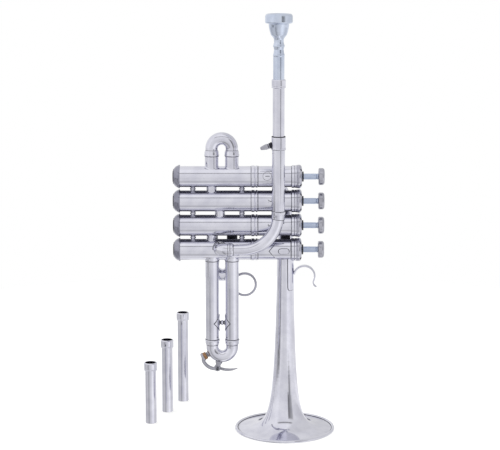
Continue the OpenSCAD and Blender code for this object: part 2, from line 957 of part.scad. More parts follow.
module slide_4_brace() {
    half_w = 7.7;
    half_h = 8.5;
    pad_t = 0.7;
    gap = leg_gap - leg_d;
    color(silver)
        translate([0, valve_y, valve_z(4) - leg_brace_reach]) {
            intersection() {
                at_legs()
                    translate([0, 0, -half_h])
                        tube(2 * half_h, leg_r + pad_t, leg_r);
                translate([slide_x, leg_d, 0])
                    rotate([90, 0, 0])
                        linear_extrude(2 * leg_d)
                            polygon([[-half_w, 0], [0, half_h], [half_w, 0], [0, -half_h]]);
            }
            translate([slide_x - gap / 2, 0, 0])
                along_x()
                    turned([
                        [0, 0.4],
                        [2.8, 0.4],
                        [1.6, gap / 2 - 1.9],
                        [2.6, gap / 2 - 0.9],
                        [2.6, gap / 2 + 0.9],
                        [1.6, gap / 2 + 1.9],
                        [2.8, gap - 0.4],
                        [0, gap - 0.4]
                    ]);
        }
}

module slide_1_bow() {
    color(silver)
        slide_frame(1)
            bow(slide_1_reach, slide_1_reach - casing_r - 1, slide_1_straight);
}

module slide_2_bow() {
    color(silver)
        slide_frame(2)
            bow(slide_2_reach, slide_2_reach - casing_r - 1, slide_2_straight);
}

module slide_4_bow() {
    color(silver)
        slide_frame(4)
            bow(slide_4_reach, slide_4_inner, slide_4_straight);
}

module slide_3_bow() {
    color(silver)
        translate([0, 0, slide_3_end_z])
            rotate([180, 0, 0])
                bow(0, knuckle_low_z - slide_3_end_z - 1.5, slide_3_straight);
}

module finger_ring() {
    wire_r = ring_wire_d / 2;
    mid_r = ring_d / 2 - wire_r;
    ring_x = slide_x + ring_side;
    ring_z = slide_3_bow_z - ring_drop;
    angle = atan2(ring_side, -ring_drop);
    reach = sqrt(ring_side * ring_side + ring_drop * ring_drop);
    color(silver)
        difference() {
            union() {
                translate([ring_x, 0, ring_z])
                    rotate([90, 0, 0])
                        rotate_extrude()
                            translate([mid_r, 0])
                                circle(wire_r);
                // Short foot soldered to the bow
                translate([slide_x, 0, slide_3_bow_z])
                    rotate([0, angle, 0])
                        translate([0, 0, bow_bend_r + bow_r - 1])
                            cylinder(h = reach - mid_r - bow_bend_r - bow_r + 1, r = 1.9);
            }
            translate([slide_x, 0, slide_3_bow_z])
                rotate([90, 0, 0])
                    rotate_extrude()
                        translate([bow_bend_r, 0])
                            circle(bow_r);
        }
}

// Water key on the bow of the fourth slide

bow_4_z = valve_z(4) - slide_4_reach - ferrule_len - slide_4_straight;
key_x = slide_x - key_side;
key_z = bow_4_z - key_drop;
bow_out_r = bow_bend_r + bow_r;
cork_angle = 209;
cork_t = 3.9;
nipple_len = 2.0;
ear_t = 1.2;
ear_gap = 0.2;
key_hub_r = 2.6;
cork_from = bow_out_r + nipple_len + 0.06;
cup_from = cork_from + cork_t;

// Places a shape at a radius and angle from the centre of the fourth slide's bow, pointing outwards
module round_bow(angle) {
    translate([slide_x, valve_y, bow_4_z])
        rotate([0, 90 - angle, 0])
            children();
}

module on_pivot() {
    translate([key_x, valve_y, key_z])
        rotate([90, 0, 0])
            children();
}

module water_key_saddle() {
    reach = sqrt(key_side * key_side + key_drop * key_drop);
    angle = atan2(-key_drop, -key_side);
    outer_y = key_w / 2 + ear_gap + ear_t;
    color(silver)
        difference() {
            union() {
                round_bow(angle)
                    translate([0, 0, bow_out_r - 1])
                        cylinder(h = 3.4, r = 2.2);
                for (side = [-1, 1])
                    translate([0, side * (key_w / 2 + ear_gap + ear_t / 2), 0])
                        round_bow(angle)
                            rotate([90, 0, 0])
                                translate([0, 0, -ear_t / 2])
                                    linear_extrude(ear_t)
                                        polygon([
                                            [-1.6, bow_out_r - 1],
                                            [1.6, bow_out_r - 1],
                                            [2.0, reach],
                                            [0, reach + 2.0],
                                            [-2.0, reach]
                                        ]);
                round_bow(angle)
                    translate([-1.6, -outer_y, bow_out_r - 1])
                        cube([3.2, 2 * outer_y, 2.4]);
                round_bow(cork_angle)
                    translate([0, 0, bow_out_r - 1])
                        cylinder(h = nipple_len + 1, r = 2.5);
            }
            translate([slide_x, valve_y, bow_4_z])
                rotate([90, 0, 0])
                    rotate_extrude()
                        translate([bow_bend_r, 0])
                            circle(bow_r);
            round_bow(cork_angle)
                cylinder(h = 2 * bow_out_r, r = 1.5);
            on_pivot()
                translate([0, 0, -2 * outer_y])
                    cylinder(h = 4 * outer_y, r = key_pin_r);
        }
}

module key_arc(x, z, r, thick, from, to) {
    translate([x, valve_y, z])
        rotate([90, 0, 0])
            rotate([0, 0, from])
                rotate_extrude(angle = to - from)
                    translate([r - thick / 2, -key_w / 2])
                        square([thick, key_w]);
}

module water_key_lever() {
    cup_r = cork_r + 0.5;
    color(silver)
        difference() {
            union() {
                on_pivot()
                    translate([0, 0, -key_w / 2])
                        cylinder(h = key_w, r = key_hub_r);
                // Arm that carries the cork cup
                key_arc(key_x - 1.9, key_z + key_arm_r - 1, key_arm_r, key_t, 190, 270);
                // Thumb tail
                key_arc(key_x + 11.1, key_z + key_tail_r - 2, key_tail_r, key_t, 246, 291);
                round_bow(cork_angle)
                    translate([0, 0, cup_from - 1.2])
                        cylinder(h = 2.4, r = cup_r);
            }
            round_bow(cork_angle)
                translate([0, 0, cup_from - 2])
                    cylinder(h = 2, r = cork_r + seat);
            on_pivot()
                translate([0, 0, -key_w])
                    cylinder(h = 2 * key_w, r = key_pin_r + 0.05);
        }
}

module water_key_cork() {
    color("#9b6b45")
        round_bow(cork_angle)
            translate([0, 0, cork_from])
                cylinder(h = cork_t, r = cork_r);
}

module water_key_pin() {
    half = key_w / 2 + ear_gap + ear_t + 0.5;
    color(dark_silver)
        on_pivot()
            translate([0, 0, -half])
                cylinder(h = 2 * half, r = key_pin_r);
}

module water_key_spring() {
    wire_r = 0.3;
    mid_r = key_pin_r + wire_r + 0.1;
    start = key_w / 2 + ear_gap + ear_t + wire_r + 0.05;
    color("#6f7076")
        on_pivot()
            swept(coil_rings(mid_r, wire_r, start, start + 2.1, 3, 10), 6);
}

// Leadpipe side

receiver_r = receiver_d / 2;
receiver_bore_r = lead_d / 2 + lead_gap;
clamp_low_z = receiver_top_z - clamp_len;
entry_z = valve_4_z + entry_rise;
main_bend_z = entry_z + main_bend_r;
sleeve_rise = 3.4;
sleeve_turn = 6.5;
sleeve_wall = 0.35;
entry_end_x = port_x + elbow_r;
entry_ferrule_len = 5.3;
lead_bore_r = 5.2;
lead_throat_r = 4.3;

module screw_frame() {
    translate([lead_x, lead_y, clamp_low_z + clamp_len / 2])
        rotate([0, -90 - screw_tilt, 0])
            children();
}

module receiver_tube() {
    color(silver)
        difference() {
            translate([lead_x, lead_y, main_bend_z])
                tube(receiver_top_z - main_bend_z, receiver_r, receiver_bore_r);
            screw_frame()
                cylinder(h = receiver_d, r = screw_r + screw_gap);
        }
}

module clamp_collar() {
    clamp_r = clamp_d / 2;
    color(silver)
        difference() {
            union() {
                translate([lead_x, lead_y, clamp_low_z])
                    turned([
                        [receiver_r + seat, 0],
                        [clamp_r + 0.25, 0],
                        [clamp_r + 0.25, 1.2],
                        [clamp_r, 1.7],
                        [clamp_r, clamp_len - 0.6],
                        [clamp_r - 0.4, clamp_len],
                        [receiver_r + seat, clamp_len]
                    ]);
                screw_frame()
                    translate([0, 0, receiver_r + 0.2])
                        cylinder(h = 2.4, r = 3.0);
            }
            translate([lead_x, lead_y, clamp_low_z - cut])
                cylinder(h = clamp_len + 2 * cut, r = receiver_r + seat);
            screw_frame()
                cylinder(h = clamp_d, r = screw_r + screw_gap);
        }
}

module thumb_screw() {
    head_from = receiver_r + 3.9;
    head_to = 18.4;
    // The flat end is tilted, so its nearest edge is what clears the leadpipe
    tip = (receiver_bore_r + screw_gap + screw_r * sin(screw_tilt)) / cos(screw_tilt);
    color(silver)
        screw_frame() {
            translate([0, 0, tip])
                cylinder(h = head_from - tip, r = screw_r);
            translate([0, 0, receiver_r + 2.7])
                cylinder(h = 1.2, r = 2.5);
            intersection() {
                translate([0, 0, head_from])
                    cylinder(h = head_to - head_from, r1 = 2.9, r2 = 1.2);
                translate([-5, -1.5, head_from])
                    cube([10, 3, head_to - head_from]);
            }
        }
}

module leadpipe_at(x, y, top_z, length) {
    ring_low = top_z - lead_ring_len;
    shank_end = top_z - shank_depth - 1;
    color(silver)
        translate([x, y, 0])
            turned([
                [lead_d / 2, top_z - length],
                [lead_d / 2, ring_low],
                [lead_ring_d / 2 - 0.4, ring_low],
                [lead_ring_d / 2, ring_low + 0.4],
                [lead_ring_d / 2, top_z - 0.6],
                [lead_ring_d / 2 - 0.6, top_z],
                [shank_d / 2 + 0.08, top_z],
                [shank_d / 2 - 0.025 * shank_depth + 0.08, shank_end],
                [lead_throat_r, shank_end],
                [lead_bore_r, top_z - length]
            ]);
}

module leadpipe() {
    leadpipe_at(lead_x, lead_y, lead_top_z, lead_len);
}

// Starts under the receiver, turns towards the valves and narrows along its level run
module main_bend() {
    start_r = bend_start_d / 2;
    end_r = bend_end_d / 2;
    run_x = lead_x - main_bend_r;
    color(silver) {
        translate([lead_x, lead_y, main_bend_z])
            rotate([0, 180, 0])
                bent_tube(main_bend_r, 90, start_r, start_r - bend_wall);
        translate([run_x, lead_y, entry_z])
            rotate([0, -90, 0])
                turned([
                    [start_r, 0],
                    [end_r, run_x - entry_end_x - entry_ferrule_len],
                    [end_r, run_x - entry_end_x],
                    [end_r - bend_wall, run_x - entry_end_x],
                    [end_r - bend_wall, run_x - entry_end_x - entry_ferrule_len],
                    [start_r - bend_wall, 0]
                ]);
    }
}

module bend_ferrules() {
    color(silver) {
        // Short sleeve between receiver and bend
        translate([lead_x, lead_y, main_bend_z]) {
            translate([0, 0, seat])
                tube(sleeve_rise, receiver_r + sleeve_wall, receiver_r + seat);
            rotate([0, 180, 0])
                bent_tube(main_bend_r, sleeve_turn, receiver_r + sleeve_wall, bend_start_d / 2 + seat);
        }
        // Ring where the bend joins the elbow
        translate([entry_end_x, lead_y, entry_z])
            along_x()
                turned([
                    [bend_end_d / 2 + seat, 0.2],
                    [elbow_d / 2 + 0.1, 0.2],
                    [elbow_d / 2 + 0.35, 0.8],
                    [elbow_d / 2 + 0.2, entry_ferrule_len - 1.0],
                    [elbow_d / 2 - 0.4, entry_ferrule_len],
                    [bend_end_d / 2 + seat, entry_ferrule_len]
                ]);
        // Ring where the bell tail joins its elbow
        translate([tail_elbow_x, 0, valve_z(1)])
            along_x()
                tube(3, tail_r + 0.7, tail_r + seat);
    }
}

module entry_elbow() {
    reach = lead_set_y - elbow_r - valve_set_y;
    bore_r = bend_end_d / 2 - bend_wall;
    color(silver)
        difference() {
            union() {
                translate([entry_end_x, lead_y, entry_z])
                    rotate([-90, 0, 0])
                        rotate([0, -90, 0])
                            bent_rod(elbow_r, 90, elbow_d / 2);
                translate([port_x, lead_y + elbow_r, entry_z])
                    rotate([-90, 0, 0])
                        cylinder(h = reach - 3, r = elbow_d / 2);
            }
            translate([entry_end_x, lead_y, entry_z])
                rotate([-90, 0, 0])
                    rotate([0, -90, 0])
                        bent_rod(elbow_r, 90, bore_r);
            translate([port_x, lead_y + elbow_r, entry_z])
                rotate([-90, 0, 0])
                    cylinder(h = reach, r = bore_r);
            casing_space(4);
        }
}

module mouthpiece() {
    top = lead_top_z + mouth_rise;
    rim_r = rim_d / 2;
    cup_r = cup_d / 2;
    low = lead_top_z - shank_depth;
    shank_r = shank_d / 2;
    color(cool_silver)
        translate([lead_x, lead_y, 0])
            turned([
                // Outside, from the shank's end up to the rim
                [shank_r - 0.025 * shank_depth, low],
                [shank_r, lead_top_z + 0.5],
                [shank_r + 0.05, lead_top_z + 22],
                [shank_r + 0.15, lead_top_z + 24],
                [shank_r - 0.5, lead_top_z + 26],
                [shank_r - 0.7, lead_top_z + 28.5],
                [shank_r - 0.3, lead_top_z + 30.4],
                [shank_r + 0.15, lead_top_z + 31.2],
                [shank_r + 0.15, lead_top_z + 32.4],
                [shank_r - 0.3, lead_top_z + 33.4],
                [shank_r - 0.75, lead_top_z + 35.2],
                [shank_r - 0.7, lead_top_z + 38.4],
                [shank_r + 0.3, top - 22.6],
                [shank_r + 2.2, top - 20.4],
                [8.8, top - 17],
                [9.6, top - 13],
                [9.9, top - 9.6],
                [rim_r - 0.7, top - 9.2],
                [rim_r, top - 8.4],
                [rim_r, top - 2.6],
                [rim_r - 0.5, top - 1.1],
                [rim_r - 1.6, top - 0.3],
                [rim_r - 2.8, top],
                // Inside, from the rim down to the throat and out through the backbore
                [cup_r + 1.2, top - 0.5],
                [cup_r, top - 1.8],
                [cup_r - 0.4, top - 4.5],
                [cup_r - 1.8, top - 8],
                [cup_r - 4.4, top - 11],
                [throat_d / 2, top - 13],
                [throat_d / 2, top - 18],
                [throat_d / 2 + 1.2, lead_top_z + 15],
                [shank_r - 0.025 * shank_depth - 0.6, low]
            ]);
}

module spare(k, length) {
    leadpipe_at(
        -spare_x - k * spare_step_x,
        spare_y - k * spare_step_y,
        length,
        length
    );
}

bell();
bell_tail();
bell_flange();
finger_hook();
tail_elbow();
valve_casing(1);  // valve_casing_1
valve_casing(2);  // valve_casing_2
valve_casing(3);  // valve_casing_3
valve_casing(4);  // valve_casing_4
bottom_caps();
top_caps();
cap_felts();
valve_guides();
crossover_tubes();
casing_braces();
receiver_tube();
clamp_collar();
bend_ferrules();
main_bend();
entry_elbow();
slide_1_sleeves();
slide_2_sleeves();
slide_3_sleeves();
slide_4_sleeves();
slide_3_knuckles();
slide_4_brace();
piston(1);  // piston_1
piston(2);  // piston_2
piston(3);  // piston_3
piston(4);  // piston_4
piston_spring(1);  // piston_spring_1
piston_spring(2);  // piston_spring_2
piston_spring(3);  // piston_spring_3
piston_spring(4);  // piston_spring_4
valve_stem(1);  // valve_stem_1
valve_stem(2);  // valve_stem_2
valve_stem(3);  // valve_stem_3
valve_stem(4);  // valve_stem_4
finger_button(1);  // finger_button_1
finger_button(2);  // finger_button_2
finger_button(3);  // finger_button_3
finger_button(4);  // finger_button_4
slide_1_bow();
slide_2_bow();
slide_3_bow();
slide_4_bow();
finger_ring();
water_key_saddle();
water_key_lever();
water_key_cork();
water_key_pin();
water_key_spring();
leadpipe();
mouthpiece();
thumb_screw();
spare(0, spare_long);  // spare_leadpipe_long
spare(1, spare_mid);  // spare_leadpipe_mid
spare(2, spare_short);  // spare_leadpipe_short
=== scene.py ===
"""Looks of a silver-plated piccolo trumpet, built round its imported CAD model."""

import math

import bmesh
import bpy
from mathutils import Matrix, Quaternion, Vector


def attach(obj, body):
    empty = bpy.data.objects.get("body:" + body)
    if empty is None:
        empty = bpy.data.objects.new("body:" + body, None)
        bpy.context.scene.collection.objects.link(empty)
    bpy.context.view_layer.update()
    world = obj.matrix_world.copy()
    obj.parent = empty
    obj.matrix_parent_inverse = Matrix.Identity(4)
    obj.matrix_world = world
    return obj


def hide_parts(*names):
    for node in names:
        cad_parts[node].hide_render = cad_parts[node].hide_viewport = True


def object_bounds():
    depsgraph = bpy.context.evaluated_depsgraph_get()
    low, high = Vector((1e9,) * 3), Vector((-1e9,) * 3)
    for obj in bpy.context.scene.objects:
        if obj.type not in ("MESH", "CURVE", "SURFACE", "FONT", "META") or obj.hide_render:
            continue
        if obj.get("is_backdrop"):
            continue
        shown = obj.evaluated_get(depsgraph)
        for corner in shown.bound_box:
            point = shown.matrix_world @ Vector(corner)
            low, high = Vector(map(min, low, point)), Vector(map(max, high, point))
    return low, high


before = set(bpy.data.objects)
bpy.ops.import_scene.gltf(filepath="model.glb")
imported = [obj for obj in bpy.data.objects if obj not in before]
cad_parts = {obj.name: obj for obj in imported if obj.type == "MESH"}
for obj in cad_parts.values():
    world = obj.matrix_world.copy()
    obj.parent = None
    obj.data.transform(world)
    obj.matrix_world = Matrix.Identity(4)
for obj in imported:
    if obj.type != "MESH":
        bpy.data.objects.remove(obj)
cad_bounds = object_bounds()
scene = bpy.context.scene

# Camera
# A long lens a metre and a half away, ten degrees above level, aimed at the valves.
# Millimetres are used throughout, and turned to metres when a piece is finished.
MM = 0.001
view_target = Vector((-35.5, -19, 214.7))
view_distance = 1534.0
view_elevation = math.radians(10.1)


def put(name, data):
    """Puts a new object into the scene."""
    made = bpy.data.objects.new(name, data)
    scene.collection.objects.link(made)
    return made


camera_data = bpy.data.cameras.new("camera")
camera_data.lens = 111.7
camera_data.sensor_width = 36.0
camera_data.dof.use_dof = False
camera = put("camera", camera_data)
view_way = Vector((0, -math.cos(view_elevation), math.sin(view_elevation)))
camera.location = (view_target + view_way * view_distance) * MM
camera.rotation_euler = view_way.to_track_quat("Z", "Y").to_euler()
scene.camera = camera
scene.view_settings.view_transform = "Standard"


# Studio
# A white sweep lit by a light tent. The tent has the dark slits between its panels
# that polished metal shows as thin lines, and everything else in it is plain white.
def linear(colour):
    """An sRGB hex colour as linear RGBA."""
    channels = [int(colour[i : i + 2], 16) / 255 for i in (1, 3, 5)]
    return [c / 12.92 if c <= 0.04045 else ((c + 0.055) / 1.055) ** 2.4 for c in channels] + [1.0]


def add_node(tree, kind, links=(), stops=(), onto=None, **settings):
    """Adds a shader node. A setting is a property, or an input by name or by _number. Links
    come from sockets or from nodes' first outputs, and its own first output may go onto one."""
    made = tree.nodes.new("ShaderNode" + kind)
    for key, value in settings.items():
        if hasattr(made, key):
            setattr(made, key, value)
        elif key[0] == "_":
            made.inputs[int(key[1:])].default_value = value
        else:
            made.inputs[key.replace("_", " ")].default_value = value
    for number, (place, colour) in enumerate(stops):
        bands = made.color_ramp.elements
        band = bands[number] if number < len(bands) else bands.new(place)
        band.position = place
        band.color = colour if isinstance(colour, list) else (colour, colour, colour, 1)
    for socket, source in links:
        tree.links.new(getattr(source, "outputs", [source])[0], made.inputs[socket])
    if onto:
        tree.links.new(made.outputs[0], onto)
    return made


tent = bpy.data.worlds.new("light_tent")
scene.world = tent
tent.use_nodes = True
tree = tent.node_tree
tree.nodes.clear()
rays = add_node(tree, "LightPath")
sky_way = add_node(tree, "TexCoord").outputs["Generated"]
axes = add_node(tree, "SeparateXYZ", [("Vector", sky_way)])
front = add_node(tree, "Math", [(0, axes.outputs["Y"])], operation="MULTIPLY", _1=-1.0)
azimuth = add_node(tree, "Math", [(0, axes.outputs["X"]), (1, front)], operation="ARCTAN2")
height = add_node(tree, "Math", [(0, axes.outputs["Z"])], operation="ARCSINE")
around, upward = (
    add_node(tree, "MapRange", [("Value", angle)], From_Min=-end, From_Max=end)
    for angle, end in ((azimuth, math.pi), (height, math.pi / 2))
)

# Grey levels by angle in degrees: round the tent 0 is the camera's side and 90 its right.
# The walls are layers that begin at the heights beside them: dim on the left below the
# table, then even, with an upright slit that widens above eye level. In front rise the
# table, its bright edge, the wall with a level slit, and the roof. Behind it is light.
sideways, upwards = (around, 180), (upward, 90)
stacks = []
walls = [
    ([
        (-180, 1), (-140, 1), (-122, 0.66), (-103, 0.62), (-80, 0.7), (-55, 0.7), (-45, 0.45),
        (-35, 0.45), (-23, 0.64), (-6, 0.78), (14, 0.82), (28, 0.98), (46, 1.14), (64, 1.04),
        (86, 0.8), (110, 0.8), (130, 0.9), (180, 1),
    ],),
    ([
        (-180, 1), (-140, 0.95), (-120, 0.78), (-102, 0.75), (-92, 0.55), (-76, 0.25),
        (-60, 0.25), (-50, 0.95), (-32, 0.93), (-21, 0.84), (14, 0.93), (26, 1.18), (40, 1.2),
        (52, 1.08), (66, 0.98), (95, 0.96), (112, 1.1), (180, 1.1),
    ], [(-12, 0), (-11.5, 1)]),
    ([
        (-180, 0.95), (-130, 0.9), (-122, 0.8), (-80, 0.88), (-40, 1), (31, 0.97), (34, 0.28),
        (41, 0.42), (50, 0.8), (62, 0.92), (90, 0.95), (180, 0.95),
    ], [(-9.6, 0), (-8.4, 1)]),
    ([
        (-180, 0.95), (-130, 0.95), (-90, 0.95), (-40, 1.05), (21, 1), (24, 0.22), (36, 0.4),
        (52, 0.55), (56, 0.88), (128, 0.75), (180, 0.8),
    ], [(-3.8, 0), (-3.2, 1)]),
    ([(-180, 0.9), (-60, 1), (20, 1), (55, 0.8), (150, 0.75), (180, 0.9)], [(24, 0), (30, 1)]),
]
rises = [
    ([(-90, 1)],),
    ([
        (-90, 1.3), (-80, 1.3), (-74, 1.22), (-68, 1.08), (-63, 0.92), (-56, 0.8), (-48, 0.78),
        (-44, 0.95), (-38, 1.03), (-20, 1.1), (-14, 1.03), (-10.5, 1), (-9, 0.86), (0, 0.87),
        (30, 0.93), (39, 0.88), (41, 0.32), (44.5, 0.32), (47, 0.9), (55, 1.05), (90, 1.02),
    ], [(-52, 0), (-40, 1), (40, 1), (52, 0)]),
    ([(-90, 1.1), (-64, 0.98), (-30, 0.9), (90, 1.05)],
     [(-172, 1), (-160, 0), (160, 0), (172, 1)]),
]
for grey_axis, share_axis, layers in ((sideways, upwards, walls), (upwards, sideways, rises)):
    stack = None
    for layer in layers:
        ramps = []
        for (source, span), stops in zip((grey_axis, share_axis), layer):
            stops = [((angle + span) / (2 * span), grey) for angle, grey in stops]
            ramps.append(add_node(tree, "ValToRGB", [("Fac", source)], stops))
        if stack is None:
            stack = ramps[0]
        else:
            links = [(0, ramps[1]), (6, stack), (7, ramps[0])]
            stack = add_node(tree, "Mix", links, data_type="RGBA").outputs[2]
    stacks.append(stack)
links = [(6, stacks[0]), (7, stacks[1])]
panels = add_node(tree, "Mix", links, data_type="RGBA", blend_type="MULTIPLY", _0=1)
links = [(0, rays.outputs["Is Camera Ray"]), (6, panels.outputs[2])]
seen = add_node(tree, "Mix", links, data_type="RGBA", _7=(1, 1, 1, 1))
sky = add_node(tree, "Background", [("Color", seen.outputs[2])])
add_node(tree, "OutputWorld", [("Surface", sky)])

paper = bpy.data.materials.new("white_paper_sweep")
paper.use_nodes = True
tree = paper.node_tree
tree.nodes.clear()
matt = add_node(tree, "BsdfDiffuse", Color=linear("#ecece9"))
rays = add_node(tree, "LightPath")
lift = add_node(tree, "Math", [(0, rays.outputs["Is Camera Ray"])], operation="MULTIPLY", _1=0.36)
glow = add_node(tree, "Emission", [("Strength", lift)])
both = add_node(tree, "AddShader", [(0, matt), (1, glow)])
add_node(tree, "OutputMaterial", [("Surface", both)])


def mesh_of(shape, name):
    """Turns a bmesh into a mesh."""
    mesh = bpy.data.meshes.new(name)
    shape.to_mesh(mesh)
    shape.free()
    return mesh


sweep = bmesh.new()
bmesh.ops.create_circle(sweep, cap_ends=True, segments=96, radius=0.75)
floor = put("floor", mesh_of(sweep, "floor"))
floor.location = (-0.03, 0, -0.0002)
floor.data.materials.append(paper)
floor.visible_glossy = False
floor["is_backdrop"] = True

lamp_data = bpy.data.lights.new("overhead_panel", "AREA")
lamp_data.shape = "DISK"
lamp_data.size = 1.1
lamp_data.energy = 7.0
lamp = put("overhead_panel", lamp_data)
lamp.location = (0.35, -0.5, 1.7)
lamp.rotation_euler = (lamp.location - view_target * MM).to_track_quat("Z", "Y").to_euler()
lamp.visible_glossy = False


# Bell
# Spun from thin brass sheet over a mandrel, its rim rolled round a wire, then silver
# plated and buffed. It is the foot that the whole instrument stands on.
def mottled(name, patch, tones, roughness, span=(0.3, 0.7), **texture):
    """A material of two tones in patches of a size in metres. Gives it, its shader, its
    Object coordinates and the noise behind the patches."""
    finish = bpy.data.materials.new(name)
    finish.use_nodes = True
    tree = finish.node_tree
    shader = tree.nodes["Principled BSDF"]
    shader.inputs["Roughness"].default_value = roughness
    spot = add_node(tree, "TexCoord").outputs["Object"]
    drift = add_node(tree, "TexNoise", [("Vector", spot)], Scale=1 / patch, **texture)
    stops = [(place, linear(tone)) for place, tone in zip(span, tones)]
    add_node(tree, "ValToRGB", [("Fac", drift)], stops, shader.inputs["Base Color"])
    return finish, shader, spot, drift


def plated(name, tones, roughness, grain=(1, 1, 1)):
    """Buffed silver plate: a bright mirror with faint clouding, and wheel marks along its grain."""
    # Tarnish clouds the plate in patches of about 14 mm
    finish, shader, spot, _ = mottled(
        name, 0.014, tones, roughness, (0.36, 0.62), Detail=3.0, Roughness=0.55
    )
    tree = finish.node_tree
    shader.inputs["Metallic"].default_value = 1.0
    # Buffing leaves the gloss uneven in patches of about 4 mm
    wipes = add_node(tree, "TexNoise", [("Vector", spot)], Scale=1 / 0.004, Detail=4.0)
    ends = {"To_Min": roughness - 0.04, "To_Max": roughness + 0.05}
    add_node(tree, "MapRange", [("Value", wipes)], onto=shader.inputs["Roughness"], **ends)
    # Wheel marks, drawn 0.5 mm apart, coarser than they are
    stretch = add_node(tree, "Mapping", [("Vector", spot)], Scale=grain)
    marks = add_node(tree, "TexNoise", [("Vector", stretch)], Scale=1 / 0.0005, Detail=2.0)
    dents = {"Strength": 0.12, "Distance": 0.00004}
    add_node(tree, "Bump", [("Height", marks)], onto=shader.inputs["Normal"], **dents)
    return finish


upright_plate = plated("buffed_silver_plate", ("#d2d2de", "#dedee8"), 0.08, (1, 1, 0.03))

# Polish that has dried in the joints, also laid as painted shade where tubes sit in the dark,
# and a softer grey that is painted shade on faces between two tubes, both with crumbs of about 0.8 mm
films = []
for name, dark, light in (
    ("settled_polish_and_shade", "#18181e", "#363640"),
    ("painted_gap_shade", "#5a5a6a", "#767686"),
):
    film, shader, _, _ = mottled(name, 0.0008, (dark, light), 0.6, Detail=3.0)
    shader.inputs["Specular IOR Level"].default_value = 0.15
    films.append(film)


def make_piece(shape, name, *nodes, body="horn", slot="silver_plate", finish=upright_plate):
    """Turns a bmesh in mm into a finished piece that rides on a body and stands for CAD nodes."""
    bmesh.ops.remove_doubles(shape, verts=shape.verts, dist=0.002)
    bmesh.ops.dissolve_degenerate(shape, edges=shape.edges, dist=0.001)
    bmesh.ops.recalc_face_normals(shape, faces=shape.faces)
    for face in shape.faces:
        face.smooth = True
    for edge in shape.edges:
        if edge.is_manifold and edge.calc_face_angle() > math.radians(35):
            edge.smooth = False
    bmesh.ops.scale(shape, vec=(MM, MM, MM), verts=shape.verts)
    filmed = any(face.material_index for face in shape.faces)
    mesh = mesh_of(shape, name)
    for material in [finish, *films] if filmed else [finish]:
        mesh.materials.append(material)
    piece = put(name, mesh)
    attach(piece, body)
    if nodes:
        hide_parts(*nodes)
    return piece


def add_shape(piece, shape, place=Matrix(), film=0):
    """Adds a shape to a piece. Film 0 is the piece's own finish, 1 settled polish that also serves as
    painted shade, 2 painted shade.
    """
    for face in shape.faces:
        face.material_index = film
    bmesh.ops.transform(shape, matrix=place, verts=shape.verts)
    mesh = mesh_of(shape, "shape")
    piece.from_mesh(mesh)
    bpy.data.meshes.remove(mesh)


def eased(outline, radius):
    """Rounds the corners of an outline of (radius, height) points, as buffing does."""
    points = [Vector(point) for point in outline]
    soft = []
    for number, point in enumerate(points):
        back = points[number - 1] - point
        on = points[(number + 1) % len(points)] - point
        reach = min(radius, back.length * 0.45, on.length * 0.45)
        if point.x < 0.01 or reach < 0.02 or back.angle(on) > math.radians(158):
            soft.append(point)
            continue
        first, last = (point + way.normalized() * reach for way in (back, on))
        for t in (0, 0.25, 0.5, 0.75, 1):
            soft.append(first * (1 - t) ** 2 + point * (2 * t * (1 - t)) + last * t * t)
    return soft


def turned(piece, outline, easing=0, place=Matrix(), sides=64, film=0):
    """Spins a closed outline of (radius, height) points round local Z. Long sides get a loop
    near each end, which keeps their shading straight."""
    held = []
    points = eased(outline, easing) if easing else [Vector(point) for point in outline]
    for start, end in zip(points, points[1:] + points[:1]):
        held.append(start)
        if (end - start).length > 2 and max(start.x, end.x) > 0.001:
            inset = (end - start).normalized() * 0.3
            held += [start + inset, end - inset]
    shape = bmesh.new()
    verts = [shape.verts.new((radius, 0, level)) for radius, level in held]
    for vert, after in zip(verts, verts[1:] + verts[:1]):
        if vert.co.x > 0.001 or after.co.x > 0.001:
            shape.edges.new((vert, after))
    bmesh.ops.spin(
        shape, geom=shape.verts[:] + shape.edges[:], cent=(0, 0, 0), axis=(0, 0, 1),
        angle=math.tau, steps=sides, use_merge=True,
    )
    bmesh.ops.remove_doubles(shape, verts=shape.verts, dist=0.0005)
    add_shape(piece, shape, place, film)


def blacken(piece, way, limit, low_z=-math.inf, high_z=math.inf, film=2):
    """Painted shade: the dark film on the faces that look a way, between two heights."""
    bmesh.ops.recalc_face_normals(piece, faces=piece.faces)
    for face in piece.faces:
        if face.normal.dot(way) > limit and low_z < face.calc_center_median().z < high_z:
            face.material_index = film


def band(inner, outer, low, high):
    """The outline of a plain ring."""
    return [(inner, low), (outer, low), (outer, high), (inner, high)]


def joint_line(piece, radius, level, place=Matrix(), width=0.6, sides=64):
    """A thin ring of settled polish in a joint."""
    ring = band(radius - 0.2, radius + 0.03, level - width / 2, level + width / 2)
    turned(piece, ring, 0, place, sides, 1)


def round_points(across, up, radius, turns):
    """Points on a circle about (across, up), at angles in degrees."""
    ways = [(math.cos(math.radians(turn)), math.sin(math.radians(turn))) for turn in turns]
    return [(across + radius * way_x, up + radius * way_y) for way_x, way_y in ways]


bell_r = 50.8
bell_wall = 0.8
bell_low_z = 0.9
bell_top_z = 184.0
bell_power = 0.345
bead_r = 1.5
bead_z = 1.1


def flare(level, sink=0.0):
    """A point on the bell's side at a height, moved inwards through the metal by sink."""
    radius = bell_r * (bell_low_z / level) ** bell_power
    slope = -bell_power * radius / level
    size = math.hypot(1, slope)
    return (radius - sink / size, level + sink * slope / size)


steps = 72
low_level = 1.16
levels = [low_level * (bell_top_z / low_level) ** (k / steps) for k in range(steps + 1)]
bead = round_points(bell_r - bead_r, bead_z, bead_r, range(170, -150, -10))
bead = [(radius, max(0, level)) for radius, level in bead]
outline = [flare(level) for level in reversed(levels)] + bead
outline += [flare(level, bell_wall) for level in levels]
bell = bmesh.new()
turned(bell, outline, sides=160)
joint_line(bell, 47.7, 1.35, width=0.5, sides=160)
make_piece(bell, "bell_flare", "bell")


